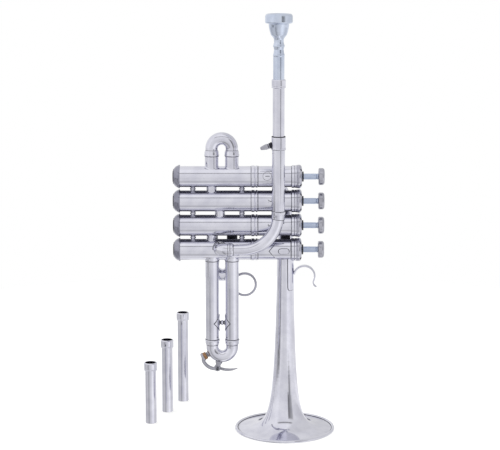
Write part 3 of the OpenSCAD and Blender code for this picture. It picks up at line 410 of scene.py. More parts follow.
# Bell tail
# The narrow end of the bell runs up past the valves, bends over and comes back level to
# an elbow in the back of the first casing. Drawn tube, bent round a lead or ice filling.
def arc(centre, start, way, degrees, first_r, last_r=None, steps=20):
    """Stations (centre, direction, radius) round a bend."""
    last_r = first_r if last_r is None else last_r
    axis = start.cross(way)
    stations = []
    for k in range(steps + 1):
        turn = Quaternion(axis, math.radians(degrees) * k / steps)
        radius = first_r + (last_r - first_r) * k / steps
        stations.append((Vector(centre) + turn @ start, turn @ way, radius))
    return stations


def swept(piece, stations, sides=40, wall=0.0, place=Matrix(), side=None):
    """Draws a ring through stations of (centre, direction, radius). A wall makes it a tube.
    With side, it is a flat bar, and radius is (half width along side, half thickness)."""
    route = list(stations)
    if wall:
        route += [(centre, way, radius - wall) for centre, way, radius in stations[::-1]]
    for number, (centre, way, radius) in enumerate(route):
        size = Vector((*(radius if side else (radius, radius)), 1))
        route[number] = (Vector(centre), Vector(way).normalized(), size)
    shape = bmesh.new()
    centre, way, radius = route[0]
    turn = way.to_track_quat("Z", "Y")
    if side:
        turn = Matrix((side, way.cross(side), way)).transposed().to_quaternion()
    placed = Matrix.LocRotScale(centre, turn, radius)
    bmesh.ops.create_circle(shape, segments=sides, radius=1.0)
    if side:
        for vert in shape.verts:
            vert.co = [math.copysign(abs(part) ** 0.55, part) for part in vert.co]
    bmesh.ops.transform(shape, matrix=placed, verts=shape.verts)
    first_ring = shape.edges[:]
    ring = first_ring
    for centre, after, radius in route[1:]:
        turn = way.rotation_difference(after) @ turn
        way = after
        target = Matrix.LocRotScale(centre, turn, radius)
        made = bmesh.ops.extrude_edge_only(shape, edges=ring)["geom"]
        verts = [part for part in made if isinstance(part, bmesh.types.BMVert)]
        ring = [part for part in made if isinstance(part, bmesh.types.BMEdge)]
        bmesh.ops.transform(shape, matrix=target @ placed.inverted(), verts=verts)
        placed = target
    if wall:
        bmesh.ops.bridge_loops(shape, edges=first_ring + ring)
    else:
        bmesh.ops.holes_fill(shape, edges=first_ring + ring, sides=0)
    add_shape(piece, shape, place)


X, Y, Z = Vector((1, 0, 0)), Vector((0, 1, 0)), Vector((0, 0, 1))
valve_y = -19.0
valve_z = {1: 263.1, 2: 238.8, 3: 214.5, 4: 190.2}
tail_r = 6.3
tail_bend_r = 32.0
elbow_r = 7.9
port_x = -65.2
level_plate = plated("buffed_silver_tube", ("#d2d2de", "#dedee8"), 0.08, (0.03, 1, 1))

tail_bend_z = valve_z[1] - tail_bend_r
tail = bmesh.new()
run = [
    ((0, 0, bell_top_z), Z, flare(bell_top_z)[0]), ((0, 0, 195), Z, 7.66), ((0, 0, 209), Z, 7.13),
]
run += arc((-tail_bend_r, 0, tail_bend_z), X * tail_bend_r, Z, 90, tail_r, steps=28)
run += [((port_x + elbow_r - 0.5, 0, valve_z[1]), -X, tail_r)]
swept(tail, run, sides=56, wall=0.7)
# Painted shade: the tail's front, in the dark gap behind the third and fourth casings, takes the
# near-black film
blacken(tail, -Y, 0.75, 196, 208, 1)
make_piece(tail, "bell_tail_tube", "bell_tail")


# Valve casings
# Four drawn tubes side by side, lying level. Each has a double band turned in relief
# near the top end, a thicker collar that the top cap screws on, and solder all round.
casing_r = 10.3
casing_bore_r = 9.0
casing_low_x = -108.4
casing_high_x = 10.3


def at(x, y, z, degrees=0, axis="Z"):
    """A place in mm, turned about an axis."""
    return Matrix.Translation((x, y, z)) @ Matrix.Rotation(math.radians(degrees), 4, axis)


def on_valve(number, along=0):
    """Stands local Z along a valve, towards the fingers, from a place along it."""
    return at(along, valve_y, valve_z[number], 90, "Y")


for number in valve_z:
    casing = bmesh.new()
    outline = [
        (casing_bore_r, casing_low_x + 2.4), (casing_r, casing_low_x + 2.4), (casing_r, -34.3),
        (10.85, -34.1), (10.85, -31.2), (casing_r + 0.05, -31), (casing_r + 0.05, -30),
        (10.85, -29.8), (10.85, -28.1), (casing_r, -27.9), (casing_r, 5.3), (11.1, 5.4),
        (11.1, 8), (10.9, 8.15), (10.9, 8.5), (11.1, 8.65), (11.1, casing_high_x),
        (casing_bore_r, casing_high_x),
    ]
    place = on_valve(number)
    turned(casing, outline, 0.2, place, 96)
    for level in (-34.5, -30.8, -30.2, -27.6, 5.1):
        joint_line(casing, casing_r, level, place, 0.5, 96)
    joint_line(casing, 10.9, 8.3, place, 0.3, 96)
    joint_line(casing, 11, casing_high_x - 0.25, place, 0.6, 96)
    # Painted shade: the faces that look into the gaps between casings take the dark grey film
    if number > 1:
        blacken(casing, Z, 0.94, valve_z[number] + 5)
    if number < 4:
        blacken(casing, -Z, 0.86, high_z=valve_z[number] - 5)
    make_piece(casing, f"casing_tube_{number}", f"valve_casing_{number}", finish=level_plate)


# Bottom caps
# Thin spun domes with a small vent, screwed over the lower ends of the casings, a little
# duller than the tubes because they are handled and oiled, and painted darker as painted shade for the
# dark surroundings they reflect.
cap_plate = plated("shaded_cap_silver_plate", ("#8e8e9e", "#a6a6b4"), 0.14)
cap_r = 11.6
caps = bmesh.new()
outline = [
    (casing_r + 0.02, 4), (cap_r - 0.3, 4), (cap_r, 3.7), (cap_r, 2.8), (cap_r - 0.5, 2.5),
    (cap_r - 0.6, 2.1), (10.7, 1.3), (9.9, -0.1), (8.7, -1.4), (7, -2.5), (4.8, -3.05),
    (2.4, -3.2), (2, -3), (2, -2.6), (4.6, -2.4), (6.7, -1.8), (8.3, -0.7), (9.4, 0.6),
    (10.1, 2.2), (casing_r + 0.02, 2.3),
]
for number in valve_z:
    end = on_valve(number, casing_low_x)
    turned(caps, outline, 0.25, end, 96)
    # Two shallow grooves turned in the crown hold dark polish
    joint_line(caps, 7.3, -2.32, end, 0.5, 96)
    joint_line(caps, 5.3, -2.9, end, 0.4, 96)
# Painted shade: the colour darkens over the last 2 mm of a crown
tree = cap_plate.node_tree
colour = tree.nodes["Principled BSDF"].inputs["Base Color"]
spot = add_node(tree, "TexCoord").outputs["Object"]
axes = add_node(tree, "SeparateXYZ", [("Vector", spot)])
ends = {"From_Min": (casing_low_x - 3.2) * MM, "From_Max": (casing_low_x - 0.8) * MM}
crown = add_node(tree, "MapRange", [("Value", axes.outputs["X"])], To_Min=0.55, To_Max=0.9, **ends)
layers = [(6, colour.links[0].from_socket), (7, crown)]
crown_shade = add_node(tree, "Mix", layers, data_type="RGBA", blend_type="MULTIPLY", _0=1.0)
tree.links.new(crown_shade.outputs[2], colour)
make_piece(caps, "bottom_cap_set", "bottom_caps", slot="cap_silver", finish=cap_plate)


# Top caps
# Turned caps, rounded over towards the stem, with four slanted vents, and a felt washer
# that quietens the button.
top_x = 15.5
caps = bmesh.new()
outline = [
    (9.9, 0.02), (cap_r - 0.3, 0.02), (cap_r, 0.35), (cap_r, 0.8), (cap_r - 0.3, 1),
    (cap_r - 0.3, 1.2), (cap_r, 1.4), (cap_r, 2.7), (cap_r - 0.2, 3.5), (cap_r - 0.8, 4.4),
    (cap_r - 1.8, 4.95), (cap_r - 2.9, 5.2), (3, 5.2), (3, 3.8), (8.9, 2.2), (8.9, 0.02),
]
drills = bmesh.new()
for number in valve_z:
    turned(caps, outline, 0.22, on_valve(number, casing_high_x), 96)
    for turn in (45, 135, 225, 315):
        hole = on_valve(number) @ at(0, 0, 0, turn) @ at(9.9, 0, top_x - 1.3, 58, "Y")
        turned(drills, band(0, 1.2, -2.2, 4.6), 0, hole, 20)
top_cap_plate = plated("handled_cap_silver", ("#b6b6c2", "#c8c8d3"), 0.12)
top_caps = make_piece(caps, "top_cap_set", "top_caps", finish=top_cap_plate)
bmesh.ops.recalc_face_normals(drills, faces=drills.faces)
bmesh.ops.scale(drills, vec=(MM, MM, MM), verts=drills.verts)
drill_set = put("vent_drills", mesh_of(drills, "vent_drills"))
cutting = top_caps.modifiers.new("vents", "BOOLEAN")
cutting.object = drill_set
cutting.solver = "EXACT"
bpy.context.view_layer.update()
vented = top_caps.evaluated_get(bpy.context.evaluated_depsgraph_get())
top_caps.data = bpy.data.meshes.new_from_object(vented)
top_caps.modifiers.clear()
bpy.data.objects.remove(drill_set)

# Matted wool fibres, 0.3 mm tufts
felt, shader, _, tufts = mottled("pressed_wool_felt", 0.0003, ("#19181c", "#343238"), 0.95, Detail=6.0)
shader.inputs["Sheen Weight"].default_value = 0.4
nap = {"Strength": 0.8, "Distance": 0.0002}
add_node(felt.node_tree, "Bump", [("Height", tufts)], onto=shader.inputs["Normal"], **nap)
washers = bmesh.new()
for number in valve_z:
    turned(washers, band(3.1, 5, 0, 1.7), 0.3, on_valve(number, top_x), 48)
make_piece(washers, "stem_washer_set", "cap_felts", slot="felt", finish=felt)


# Valves
# Each valve is a ported piston on a spring, a stem through the top cap and a finger
# button screwed on the stem. Only stem and button show, until a cap comes off.
stem_plate = plated("burnished_stem_silver", ("#b4bfd6", "#c0cadf"), 0.3)
button_plate = plated("buffed_button_silver", ("#a6a6b0", "#b6b6c0"), 0.28)
button_low_x = 31.62
button_r = 8.3
for number in valve_z:
    stem = bmesh.new()
    outline = [
        (0, -1.5), (4.6, -1.5), (4.6, -0.3), (2.9, -0.3), (2.9, 29.6), (2.5, 29.8), (2.5, 30.1),
        (2.9, 30.3), (2.9, button_low_x), (0, button_low_x),
    ]
    turned(stem, outline, 0.15, on_valve(number), 40)
    make_piece(
        stem, f"stem_rod_{number}", f"valve_stem_{number}",
        body=f"valve_{number}", slot="stem_silver", finish=stem_plate,
    )
    button = bmesh.new()
    outline = [
        (0, 0), (4, 0), (4.2, 0.25), (button_r - 1.1, 0.25), (button_r - 0.3, 0.5),
        (button_r, 1.3), (button_r, 4.2), (button_r - 0.4, 5.3), (button_r - 1.4, 6),
        (button_r - 2, 6.1), (button_r - 2.6, 5.85), (0, 5.5),
    ]
    turned(button, outline, 0.5, on_valve(number, button_low_x), 72)
    make_piece(
        button, f"button_disc_{number}", f"finger_button_{number}",
        body=f"valve_{number}", finish=button_plate,
    )

piston_metal = plated("honed_nickel_alloy", ("#a8a49a", "#b4b0a6"), 0.24, (0.03, 1, 1))
spring_steel = plated("drawn_spring_steel", ("#6d6e75", "#84858c"), 0.3)
# Flow marks of the moulding, about 3 mm wide
nylon, shader, _, _ = mottled("moulded_nylon", 0.003, ("#d2c398", "#dfd2ac"), 0.42, Detail=2.0)
shader.inputs["Subsurface Weight"].default_value = 0.1


def refinish(node, finish):
    """Gives a CAD node that is kept as it is its own material."""
    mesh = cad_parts[node].data
    mesh.materials.clear()
    mesh.materials.append(finish)


for number in valve_z:
    refinish(f"piston_{number}", piston_metal)
    refinish(f"piston_spring_{number}", spring_steel)
refinish("valve_guides", nylon)


# Crossovers and braces
# Short tubes carry the air from one casing to the next, and little turned pillars brace
# the casings. Both are cut to the casings' curve and soft soldered.
pitch = 24.3
gap_mid = pitch / 2


def seated(piece, outline, place, sides=48, rounding=0.2, upper=None, film=0):
    """A turned shape on a casing: heights under 5 mm, or within 5 mm of upper, follow its curve."""
    shape = bmesh.new()
    turned(shape, outline, rounding, sides=sides)
    for vert in shape.verts:
        rise = math.sqrt(casing_r**2 - min(abs(vert.co.y), casing_r - 0.1) ** 2)
        if vert.co.z < 5:
            vert.co.z += rise
        elif upper and vert.co.z > upper - 5:
            vert.co.z -= rise
    add_shape(piece, shape, place, film)


def fillet(piece, radius, place, spread=0.8, rise=0.9):
    """The neat meniscus of solder round a tube where it meets a casing."""
    outline = [(radius - 0.25, -0.35), (radius + spread, -0.35), (radius + spread, -0.02)]
    outline += [(radius + spread * 0.35, rise * 0.3), (radius + 0.05, rise), (radius - 0.25, rise)]
    seated(piece, outline, place, rounding=0.08)


def grime_line(piece, radius, place):
    """Settled polish round a foot that sits on a casing, which also serves as painted shade of the gap
    beside the foot.
    """
    seated(piece, band(radius - 0.2, radius + 0.4, -0.4, 0.05), place, rounding=0, film=1)


crossovers = bmesh.new()
braces = bmesh.new()
tube = band(4.3, 4.9, -0.3, pitch + 0.3)
pillar = [(0, -0.35), (3.5, -0.35), (3.45, 0.15), (2.2, 0.5)]
pillar += [(1.9, gap_mid - 1.15), (2, gap_mid - 0.95), (2.6, gap_mid - 0.75)]
pillar += [(2.85, gap_mid)] + [(r, pitch - z) for r, z in reversed(pillar)]
for number in (2, 3, 4):
    low = at(0, valve_y, valve_z[number])
    high = at(0, valve_y, valve_z[number - 1], 180, "X")
    side = at(port_x if number == 3 else -73.4, 0, 0)
    seated(crossovers, tube, low @ side, rounding=0, upper=pitch)
    fillet(crossovers, 4.9, low @ side, 0.5, 0.5)
    fillet(crossovers, 4.9, high @ side, 0.5, 0.5)
    for place_x in (-91.8, -43.4):
        spot = at(place_x, 0, 0)
        seated(braces, pillar, low @ spot, upper=pitch)
        grime_line(braces, 3.5, low @ spot)
        grime_line(braces, 3.5, high @ spot)
        for level in (gap_mid - 1.15, gap_mid + 1.15):
            joint_line(braces, 2, level, low @ spot, 0.5, 32)
# Painted shade: the faces that look to either side along the valves take the dark grey film
for shape, limit in ((crossovers, 0.91), (braces, 0.66)):
    blacken(shape, X, limit)
    blacken(shape, -X, limit)
make_piece(crossovers, "crossover_set", "crossover_tubes")
make_piece(braces, "brace_pillars", "casing_braces")


# Tuning slides
# Every valve has a U of tube that slides in two fixed outer legs. A bow with its inner
# legs is bent from one tube, and a turned ferrule stops it at the outer legs' ends.
slide_x = -63.25
leg_gap = 19.7
leg_r = 6.75
leg_bore_r = 6.2
bow_r = 6.15
bow_wall = 0.5
ferrule_len = 5.6
leg_places = (slide_x - leg_gap / 2, slide_x + leg_gap / 2)


def slide_place(number):
    """The frame of a slide, its Z along the legs and away from the valve."""
    return at(0, valve_y, valve_z[number], {1: 0, 2: -102, 4: 180}[number], "X")


def slide_bow(piece, place, reach, inner_len, straight):
    """A bow, its inner legs, and the ferrules that meet the outer legs at reach."""
    top = reach + ferrule_len + straight
    left, right = leg_places
    run = [((left, 0, reach - inner_len), Z, bow_r), ((left, 0, reach), Z, bow_r)]
    run += arc((slide_x, 0, top), -X * leg_gap / 2, Z, 180, bow_r, steps=36)
    run += [((right, 0, reach), -Z, bow_r), ((right, 0, reach - inner_len), -Z, bow_r)]
    swept(piece, run, 56, bow_wall, place)
    for leg_x in leg_places:
        spot = place @ at(leg_x, 0, reach + 0.02)
        joint_line(piece, 6.95, -0.05, spot, 0.8)
        joint_line(piece, bow_r, ferrule_len + 0.1, spot, 0.35)
        outline = [(bow_r - 0.2, 0), (7.05, 0), (7.5, 0.45), (7.5, 1.1), (7.1, 1.7)]
        outline += [(7, ferrule_len - 1.6), (6.8, ferrule_len - 1.3), (6.8, ferrule_len - 0.9)]
        outline += [(6.6, ferrule_len - 0.4), (bow_r, ferrule_len), (bow_r - 0.2, ferrule_len)]
        turned(piece, outline, 0.2, spot, 56)


# Outer reach, and the lengths of the inner legs and of the bow's straight part
slide_sizes = {1: (20.4, 9.1, 1.8), 2: (18, 6.7, 1.2), 4: (91.5, 62, 2.2)}
foot_ring_r, foot_ring_top = 7.25, 11.4
for number, (reach, inner_len, straight) in slide_sizes.items():
    legs = bmesh.new()
    for leg_x in leg_places:
        spot = slide_place(number) @ at(leg_x, 0, 0)
        seated(legs, band(leg_bore_r, leg_r, -0.6, reach), spot, 56, 0.15)
        if number == 4:
            outline = [(leg_r - 0.2, -0.3), (foot_ring_r, -0.3), (foot_ring_r, foot_ring_top - 0.3)]
            outline += [(leg_r, foot_ring_top), (leg_r - 0.2, foot_ring_top)]
            seated(legs, outline, spot, 56, 0.2)
            joint_line(legs, leg_r, foot_ring_top + 0.2, spot, 0.6)
        fillet(legs, foot_ring_r if number == 4 else leg_r, spot, 0.6, 0.7)
    buffed = level_plate if number == 2 else upright_plate
    make_piece(legs, f"outer_legs_{number}", f"slide_{number}_sleeves", finish=buffed)
    bow = bmesh.new()
    slide_bow(bow, slide_place(number), reach, inner_len, straight)
    make_piece(bow, f"bow_{number}", f"slide_{number}_bow", body=f"slide_{number}", finish=buffed)

# The third slide leaves the back of its casing through two knuckles and hangs down
# behind the fourth casing, in the plane of the bell.
knuckle_r = 5.45
knuckle_bend = 9.0
knuckle_low_z = 196.0
slide_3_end_z = 177.5
knuckles = bmesh.new()
legs = bmesh.new()
end = slide_3_end_z - knuckle_low_z
outline = [
    (knuckle_r + 0.02, 1), (leg_r - 0.4, 1), (leg_r, 0.5), (leg_r, end), (leg_bore_r, end),
    (leg_bore_r, -0.5), (knuckle_r + 0.02, -0.5),
]
for leg_x in leg_places:
    run = [((leg_x, valve_y + 9.1, valve_z[3]), Y, knuckle_r)]
    bend_from = (leg_x, -knuckle_bend, valve_z[3] - knuckle_bend)
    run += arc(bend_from, Z * knuckle_bend, Y, 90, knuckle_r)
    run += [((leg_x, 0, knuckle_low_z), -Z, knuckle_r)]
    swept(knuckles, run, 48)
    fillet(knuckles, knuckle_r, at(leg_x, valve_y, valve_z[3], -90, "X"), 0.6, 0.7)
    turned(legs, outline, 0.2, at(leg_x, 0, knuckle_low_z), 56)
# Painted shade: the knuckles' fronts, in the dark behind the casings, take the near-black film
blacken(knuckles, -Y, 0.3, 186, 214, 1)
make_piece(knuckles, "knuckle_pair", "slide_3_knuckles")
make_piece(legs, "outer_legs_3", "slide_3_sleeves")
bow = bmesh.new()
slide_bow(bow, at(0, 0, slide_3_end_z, 180, "X"), 0, 17, 1.8)
make_piece(bow, "bow_3", "slide_3_bow", body="slide_3")


# Leadpipe side
# The receiver and the main bend carry the removable leadpipe. The bend is tapered, drawn
# over a mandrel, and joined by short ferrules to the receiver and to its elbow.
lead_x, lead_y = -7.9, -37.0
lead_top_z = 360.1
receiver_r = 6.35
receiver_top_z = 304.5
main_bend_r = 35.0
entry_z = 192.9
main_bend_z = entry_z + main_bend_r
elbow_tube_r = 6.45
entry_end_x = port_x + elbow_r
lead_place = at(lead_x, lead_y, 0)

receiver = bmesh.new()
turned(receiver, band(5.8, receiver_r, main_bend_z, receiver_top_z), 0.12, lead_place)
make_piece(receiver, "receiver_sleeve", "receiver_tube")

bend = bmesh.new()
bend_middle = Vector((lead_x - main_bend_r, lead_y, main_bend_z))
half_way, half_on = (X - Z).normalized(), -(X + Z).normalized()
run = arc(bend_middle, X * main_bend_r, -Z, 45, 6, 5.9, 16)
run += arc(bend_middle, half_way * main_bend_r, half_on, 45, 5.9, 5.6, 16)[1:]
run += [((entry_end_x + along, lead_y, entry_z), -X, 5.2) for along in (5.3, 0.2)]
swept(bend, run, 56, 0.6)
make_piece(bend, "tapered_bend", "main_bend")

ferrules = bmesh.new()
sleeve_r = receiver_r + 0.45
outline = [
    (receiver_r + 0.02, 0), (sleeve_r, 0), (sleeve_r, 3), (sleeve_r - 0.2, 3.4),
    (receiver_r + 0.02, 3.4),
]
sleeve_place = lead_place @ at(0, 0, main_bend_z)
turned(ferrules, outline, 0.12, sleeve_place)
joint_line(ferrules, receiver_r + 0.1, 3.5, sleeve_place, 0.7)
sleeve_turn = 6.5
sleeve = arc(bend_middle, X * main_bend_r, -Z, sleeve_turn, sleeve_r, receiver_r + 0.3, 6)
swept(ferrules, sleeve, 64, 0.4)
sleeve_end = at(*bend_middle, sleeve_turn, "Y") @ at(main_bend_r, 0, 0)
joint_line(ferrules, receiver_r + 0.1, -0.2, sleeve_end, 0.6)
entry_ring = at(entry_end_x, lead_y, entry_z, 90, "Y")
outline = [
    (5.25, 0.2), (6.55, 0.2), (6.8, 0.8), (6.8, 1.8), (6.55, 2.1), (6.55, 4.3), (6, 5.3),
    (5.25, 5.3),
]
turned(ferrules, outline, 0.2, entry_ring, 56)
for radius, level in ((6.5, 0.1), (6.6, 2.2), (5.7, 5.4)):
    joint_line(ferrules, radius, level, entry_ring, 0.5)
tail_ring = at(entry_end_x, 0, valve_z[1], 90, "Y")
turned(ferrules, band(tail_r + 0.02, 7, 0, 3), 0.5, tail_ring, 56)
make_piece(ferrules, "bend_ferrule_set", "bend_ferrules")

# Elbows turn the main bend and the bell tail into the casings' sides, from front and back
for node, turn_y, tube_z, face, soldered in (
    ("entry_elbow", lead_y, entry_z, -1, (0.4, 0.4)),
    ("tail_elbow", 0, valve_z[1], 1, (0.6, 0.7)),
):
    elbow = bmesh.new()
    run = [((entry_end_x + 0.2, turn_y, tube_z), -X, elbow_tube_r)]
    turn_from = (entry_end_x, turn_y - elbow_r * face, tube_z)
    run += arc(turn_from, Y * face * elbow_r, -X, 90, elbow_tube_r)
    run += [((port_x, valve_y + 9.1 * face, tube_z), -Y * face, elbow_tube_r)]
    swept(elbow, run, 56)
    foot = at(port_x, valve_y, tube_z, -90 * face, "X")
    fillet(elbow, elbow_tube_r, foot, *soldered)
    # Painted shade: the dark ring at this elbow's foot stands for the shadow gap between it and the
    # casing
    if node == "entry_elbow":
        grime_line(elbow, elbow_tube_r + 0.4, foot)
    make_piece(elbow, f"{node}_tube", node, finish=level_plate)


# Leadpipes
# A tapered brass tube with a thick ring at the end that takes the mouthpiece. One is in
# the receiver, and three spares of other lengths stand beside the instrument.
def leadpipe(length, place):
    """A leadpipe below its top end: outside, ring, mouthpiece socket and tapered bore."""
    outline = [
        (5.2, -length), (5.75, -length), (5.75, -8.4), (6.45, -8.35), (6.85, -7.9), (6.85, -7.1),
        (6.7, -6.9), (6.7, -6.6), (6.85, -6.4), (6.85, -0.7), (6.3, 0), (5.53, 0), (4.9, -25),
        (4.3, -25.2),
    ]
    pipe = bmesh.new()
    turned(pipe, outline, 0.15, place)
    return pipe


pipe = leadpipe(116, at(lead_x, lead_y, lead_top_z))
make_piece(pipe, "leadpipe_tube", "leadpipe", body="leadpipe_body")
spares = {"long": (98, -108, 100), "mid": (78, -123, 60), "short": (64, -138, 20)}
for size, (length, spare_x, spare_y) in spares.items():
    pipe = leadpipe(length, at(spare_x, spare_y, length))
    make_piece(pipe, f"spare_pipe_{size}", f"spare_leadpipe_{size}", body=f"spare_{size}_body")


# Mouthpiece
# Turned from one bar: a shank, a slim waist with a bead, a bowl, and a broad rim round
# a cup that narrows to the throat. Heavier silver plate, brighter and a little bluer.
mouth_plate = plated("bright_mouthpiece_silver", ("#c2cbde", "#d0d8e8"), 0.1, (1, 1, 0.03))
# Heights are from the rim down
outline = [
    (4.85, -86.7), (5.45, -62.2), (5.5, -40.9), (5.62, -40.5), (5.62, -38.9), (5.3, -38.4),
    (4.95, -36.7), (4.75, -34.2), (5.1, -32.3), (5.6, -31.5), (5.6, -30.3), (5.15, -29.3),
    (4.7, -27.5), (4.75, -24.3), (5.75, -22.6), (7.65, -20.4), (8.8, -17), (9.6, -13),
    (9.9, -9.6), (12.6, -9.2), (13.3, -8.4), (13.3, -2.6), (12.8, -1.1), (11.7, -0.3), (10.5, 0),
    (9.2, -0.5), (8, -1.8), (7.6, -4.5), (6.2, -8), (3.6, -11), (1.85, -13), (1.85, -18),
    (3.05, -47.7), (4.25, -86.7),
]
mouthpiece = bmesh.new()
turned(mouthpiece, outline, 0.7, at(lead_x, lead_y, lead_top_z + 62.7), 96)
make_piece(
    mouthpiece, "mouthpiece_turning", "mouthpiece",
    body="mouthpiece_body", slot="mouthpiece_silver", finish=mouth_plate,
)


# Bell flange
# A pointed plate of sheet silver wrapped on the fourth casing, with an oblong boss on
# it and a web underneath, soft soldered. It ties the casings to the bell.
def thicken(shape, thickness):
    """Raises a flat shape's faces into a plate."""
    made = bmesh.ops.extrude_face_region(shape, geom=shape.faces[:])["geom"]
    raised = [part for part in made if isinstance(part, bmesh.types.BMVert)]
    bmesh.ops.translate(shape, vec=(0, 0, thickness), verts=raised)


def ease_edges(shape, edges, easing):
    """Rounds a plate's edges, as filing and buffing do."""
    bmesh.ops.bevel(
        shape, geom=edges, offset=easing, segments=2, profile=0.5, affect="EDGES", material=-1
    )


def wrapped(piece, outline, place, radius, thickness, grow=0.0, film=0):
    """A plate on a round surface about local Z, its middle at local -Y. The outline is convex,
    anticlockwise, in (along, round). The radius is a number, or a function such as flare."""
    corners = [Vector(corner) for corner in outline]
    low = Vector([min(corner[k] for corner in corners) - grow - 0.1 for k in (0, 1)])
    high = Vector([max(corner[k] for corner in corners) + grow + 0.1 for k in (0, 1)])
    size, middle = high - low, (high + low) / 2
    shape = bmesh.new()
    placed = Matrix.Translation((*middle, 0)) @ Matrix.Diagonal((*size, 1, 1))
    columns, rows = (math.ceil(part / 0.7) for part in size)
    bmesh.ops.create_grid(shape, x_segments=columns, y_segments=rows, size=0.5, matrix=placed)
    for corner, after in zip(corners, corners[1:] + corners[:1]):
        edge = (after - corner).normalized()
        outward = Vector((edge.y, -edge.x))
        bmesh.ops.bisect_plane(
            shape, geom=shape.verts[:] + shape.edges[:] + shape.faces[:], dist=0.0005,
            plane_co=(*(corner + outward * grow), 0), plane_no=(*outward, 0), clear_outer=True,
        )
    thicken(shape, thickness)
    bmesh.ops.recalc_face_normals(shape, faces=shape.faces)
    top = [edge for edge in shape.edges if min(vert.co.z for vert in edge.verts) > thickness * 0.9]
    if thickness > 0.3:
        rim = [edge for edge in top if edge.is_manifold and edge.calc_face_angle() > 1]
        ease_edges(shape, rim, 0.2)
    wrap(shape, radius)
    add_shape(piece, shape, place, film)


def wrap(shape, radius):
    """Wraps a flat shape in local XY round local Z, with its Z standing off the surface."""
    for vert in shape.verts:
        along, round_it, off = vert.co
        base = radius(along)[0] if callable(radius) else radius
        angle = round_it / base
        vert.co = ((base + off) * math.sin(angle), -(base + off) * math.cos(angle), along)


def casing_front(number):
    """Local Z along a casing, its front at local -Y and its upper side at local +X."""
    return on_valve(number) @ Matrix.Diagonal((-1, 1, 1, 1))


flange = bmesh.new()
front_4 = casing_front(4)
outline = [(-16.4, 0), (-10.2, -7.6), (4.6, -8.4), (4.6, 8.4), (-10.2, 7.6)]
wrapped(flange, outline, front_4, casing_r + 0.01, 0.06, 0.55, 1)
wrapped(flange, outline, front_4, casing_r, 0.75)
oblong = []
for turn, middle in ((-90, 0.55), (90, -4.95)):
    oblong += round_points(middle, 0, 2.45, [turn + 22.5 * k for k in range(9)])
wrapped(flange, oblong, front_4, casing_r + 0.7, 0.12, 0.5, 1)
wrapped(flange, oblong, front_4, casing_r + 0.6, 1.1)


def plate(piece, outline, low, high, place, easing=0.2):
    """A flat plate with eased edges: its outline in local XY, between two heights."""
    shape = bmesh.new()
    shape.faces.new([shape.verts.new((across, up, low)) for across, up in outline])
    thicken(shape, high - low)
    ease_edges(shape, shape.edges[:], easing)
    add_shape(piece, shape, place)


# The web fills the corner between the casing's underside and the bell
web = [(-7.6, 177.5), (-7.6, 188.5)]
web += round_points(valve_y, valve_z[4], casing_r - 0.3, range(-10, -100, -12))
side_on = Matrix(((0, 0, 1, 0), (1, 0, 0, 0), (0, 1, 0, 0), (0, 0, 0, 1)))
plate(flange, web, -3.2, 3.2, side_on, 0.4)
make_piece(flange, "flange_plate", "bell_flange", finish=level_plate)


# Valve numbers
# Plain numerals cut into the front of each casing, the first in a round outline. The cut
# lines hold dark polish.
numerals = bmesh.new()
for number, along in ((1, -18.7), (2, -16.1), (3, -16.1)):
    curve = bpy.data.curves.new("numeral", "FONT")
    curve.body = str(number)
    curve.size = 6.2
    curve.align_x = curve.align_y = "CENTER"
    curve.extrude = 0.04
    written = put("numeral", curve)
    mesh = bpy.data.meshes.new_from_object(written)
    bpy.data.objects.remove(written)
    shape = bmesh.new()
    shape.from_mesh(mesh)
    bmesh.ops.remove_doubles(shape, verts=shape.verts, dist=0.0005)
    # The numeral's top is towards the fingers
    for vert in shape.verts:
        vert.co = (vert.co.y + along, 1.8 - vert.co.x, vert.co.z)
    wrap(shape, casing_r)
    add_shape(numerals, shape, casing_front(number), 1)
ring = bmesh.new()
turned(ring, band(4.05, 4.35, -0.04, 0.04), sides=48)
bmesh.ops.translate(ring, vec=(-18.7, 1.8, 0), verts=ring.verts)
wrap(ring, casing_r)
add_shape(numerals, ring, casing_front(1), 1)
make_piece(numerals, "valve_numerals", finish=level_plate)


# Finger hook
# A strip of half-hard sheet soldered to the bell's side, with a narrower strip bent into
# an open arch for the little finger and turned out at its tip.
hook = bmesh.new()
strip = [(146, -2.2), (147.2, -3.3), (149, -3.6), (183.6, -3.6)]
strip += [(along, -across) for along, across in reversed(strip)]
strip_place = Matrix.Rotation(math.radians(40), 4, "Z")
wrapped(hook, strip, strip_place, flare, 0.1, 0.45, 1)
wrapped(hook, strip, strip_place, flare, 1.1)
hook_y = -4.2
bar = (3, 0.95)
root, lip = (Quaternion(Y, math.radians(turn)) for turn in (-168, 25))
run = arc((19, hook_y, 160), root @ X * 10.5, root @ -Z, 193, 1, steps=26)
run += arc(run[-1][0] + lip @ X * 4.5, lip @ -X * 4.5, lip @ -Z, 80, 1, steps=12)[1:]
run = [(centre, way, bar) for centre, way, _ in run]
tip, tip_way, _ = run[-1]
run += [(tip + tip_way, tip_way, bar), (tip + tip_way * 1.6, tip_way, (2.4, 0.5))]
swept(hook, run, 28, side=Y)
make_piece(hook, "hook_strip", "finger_hook")


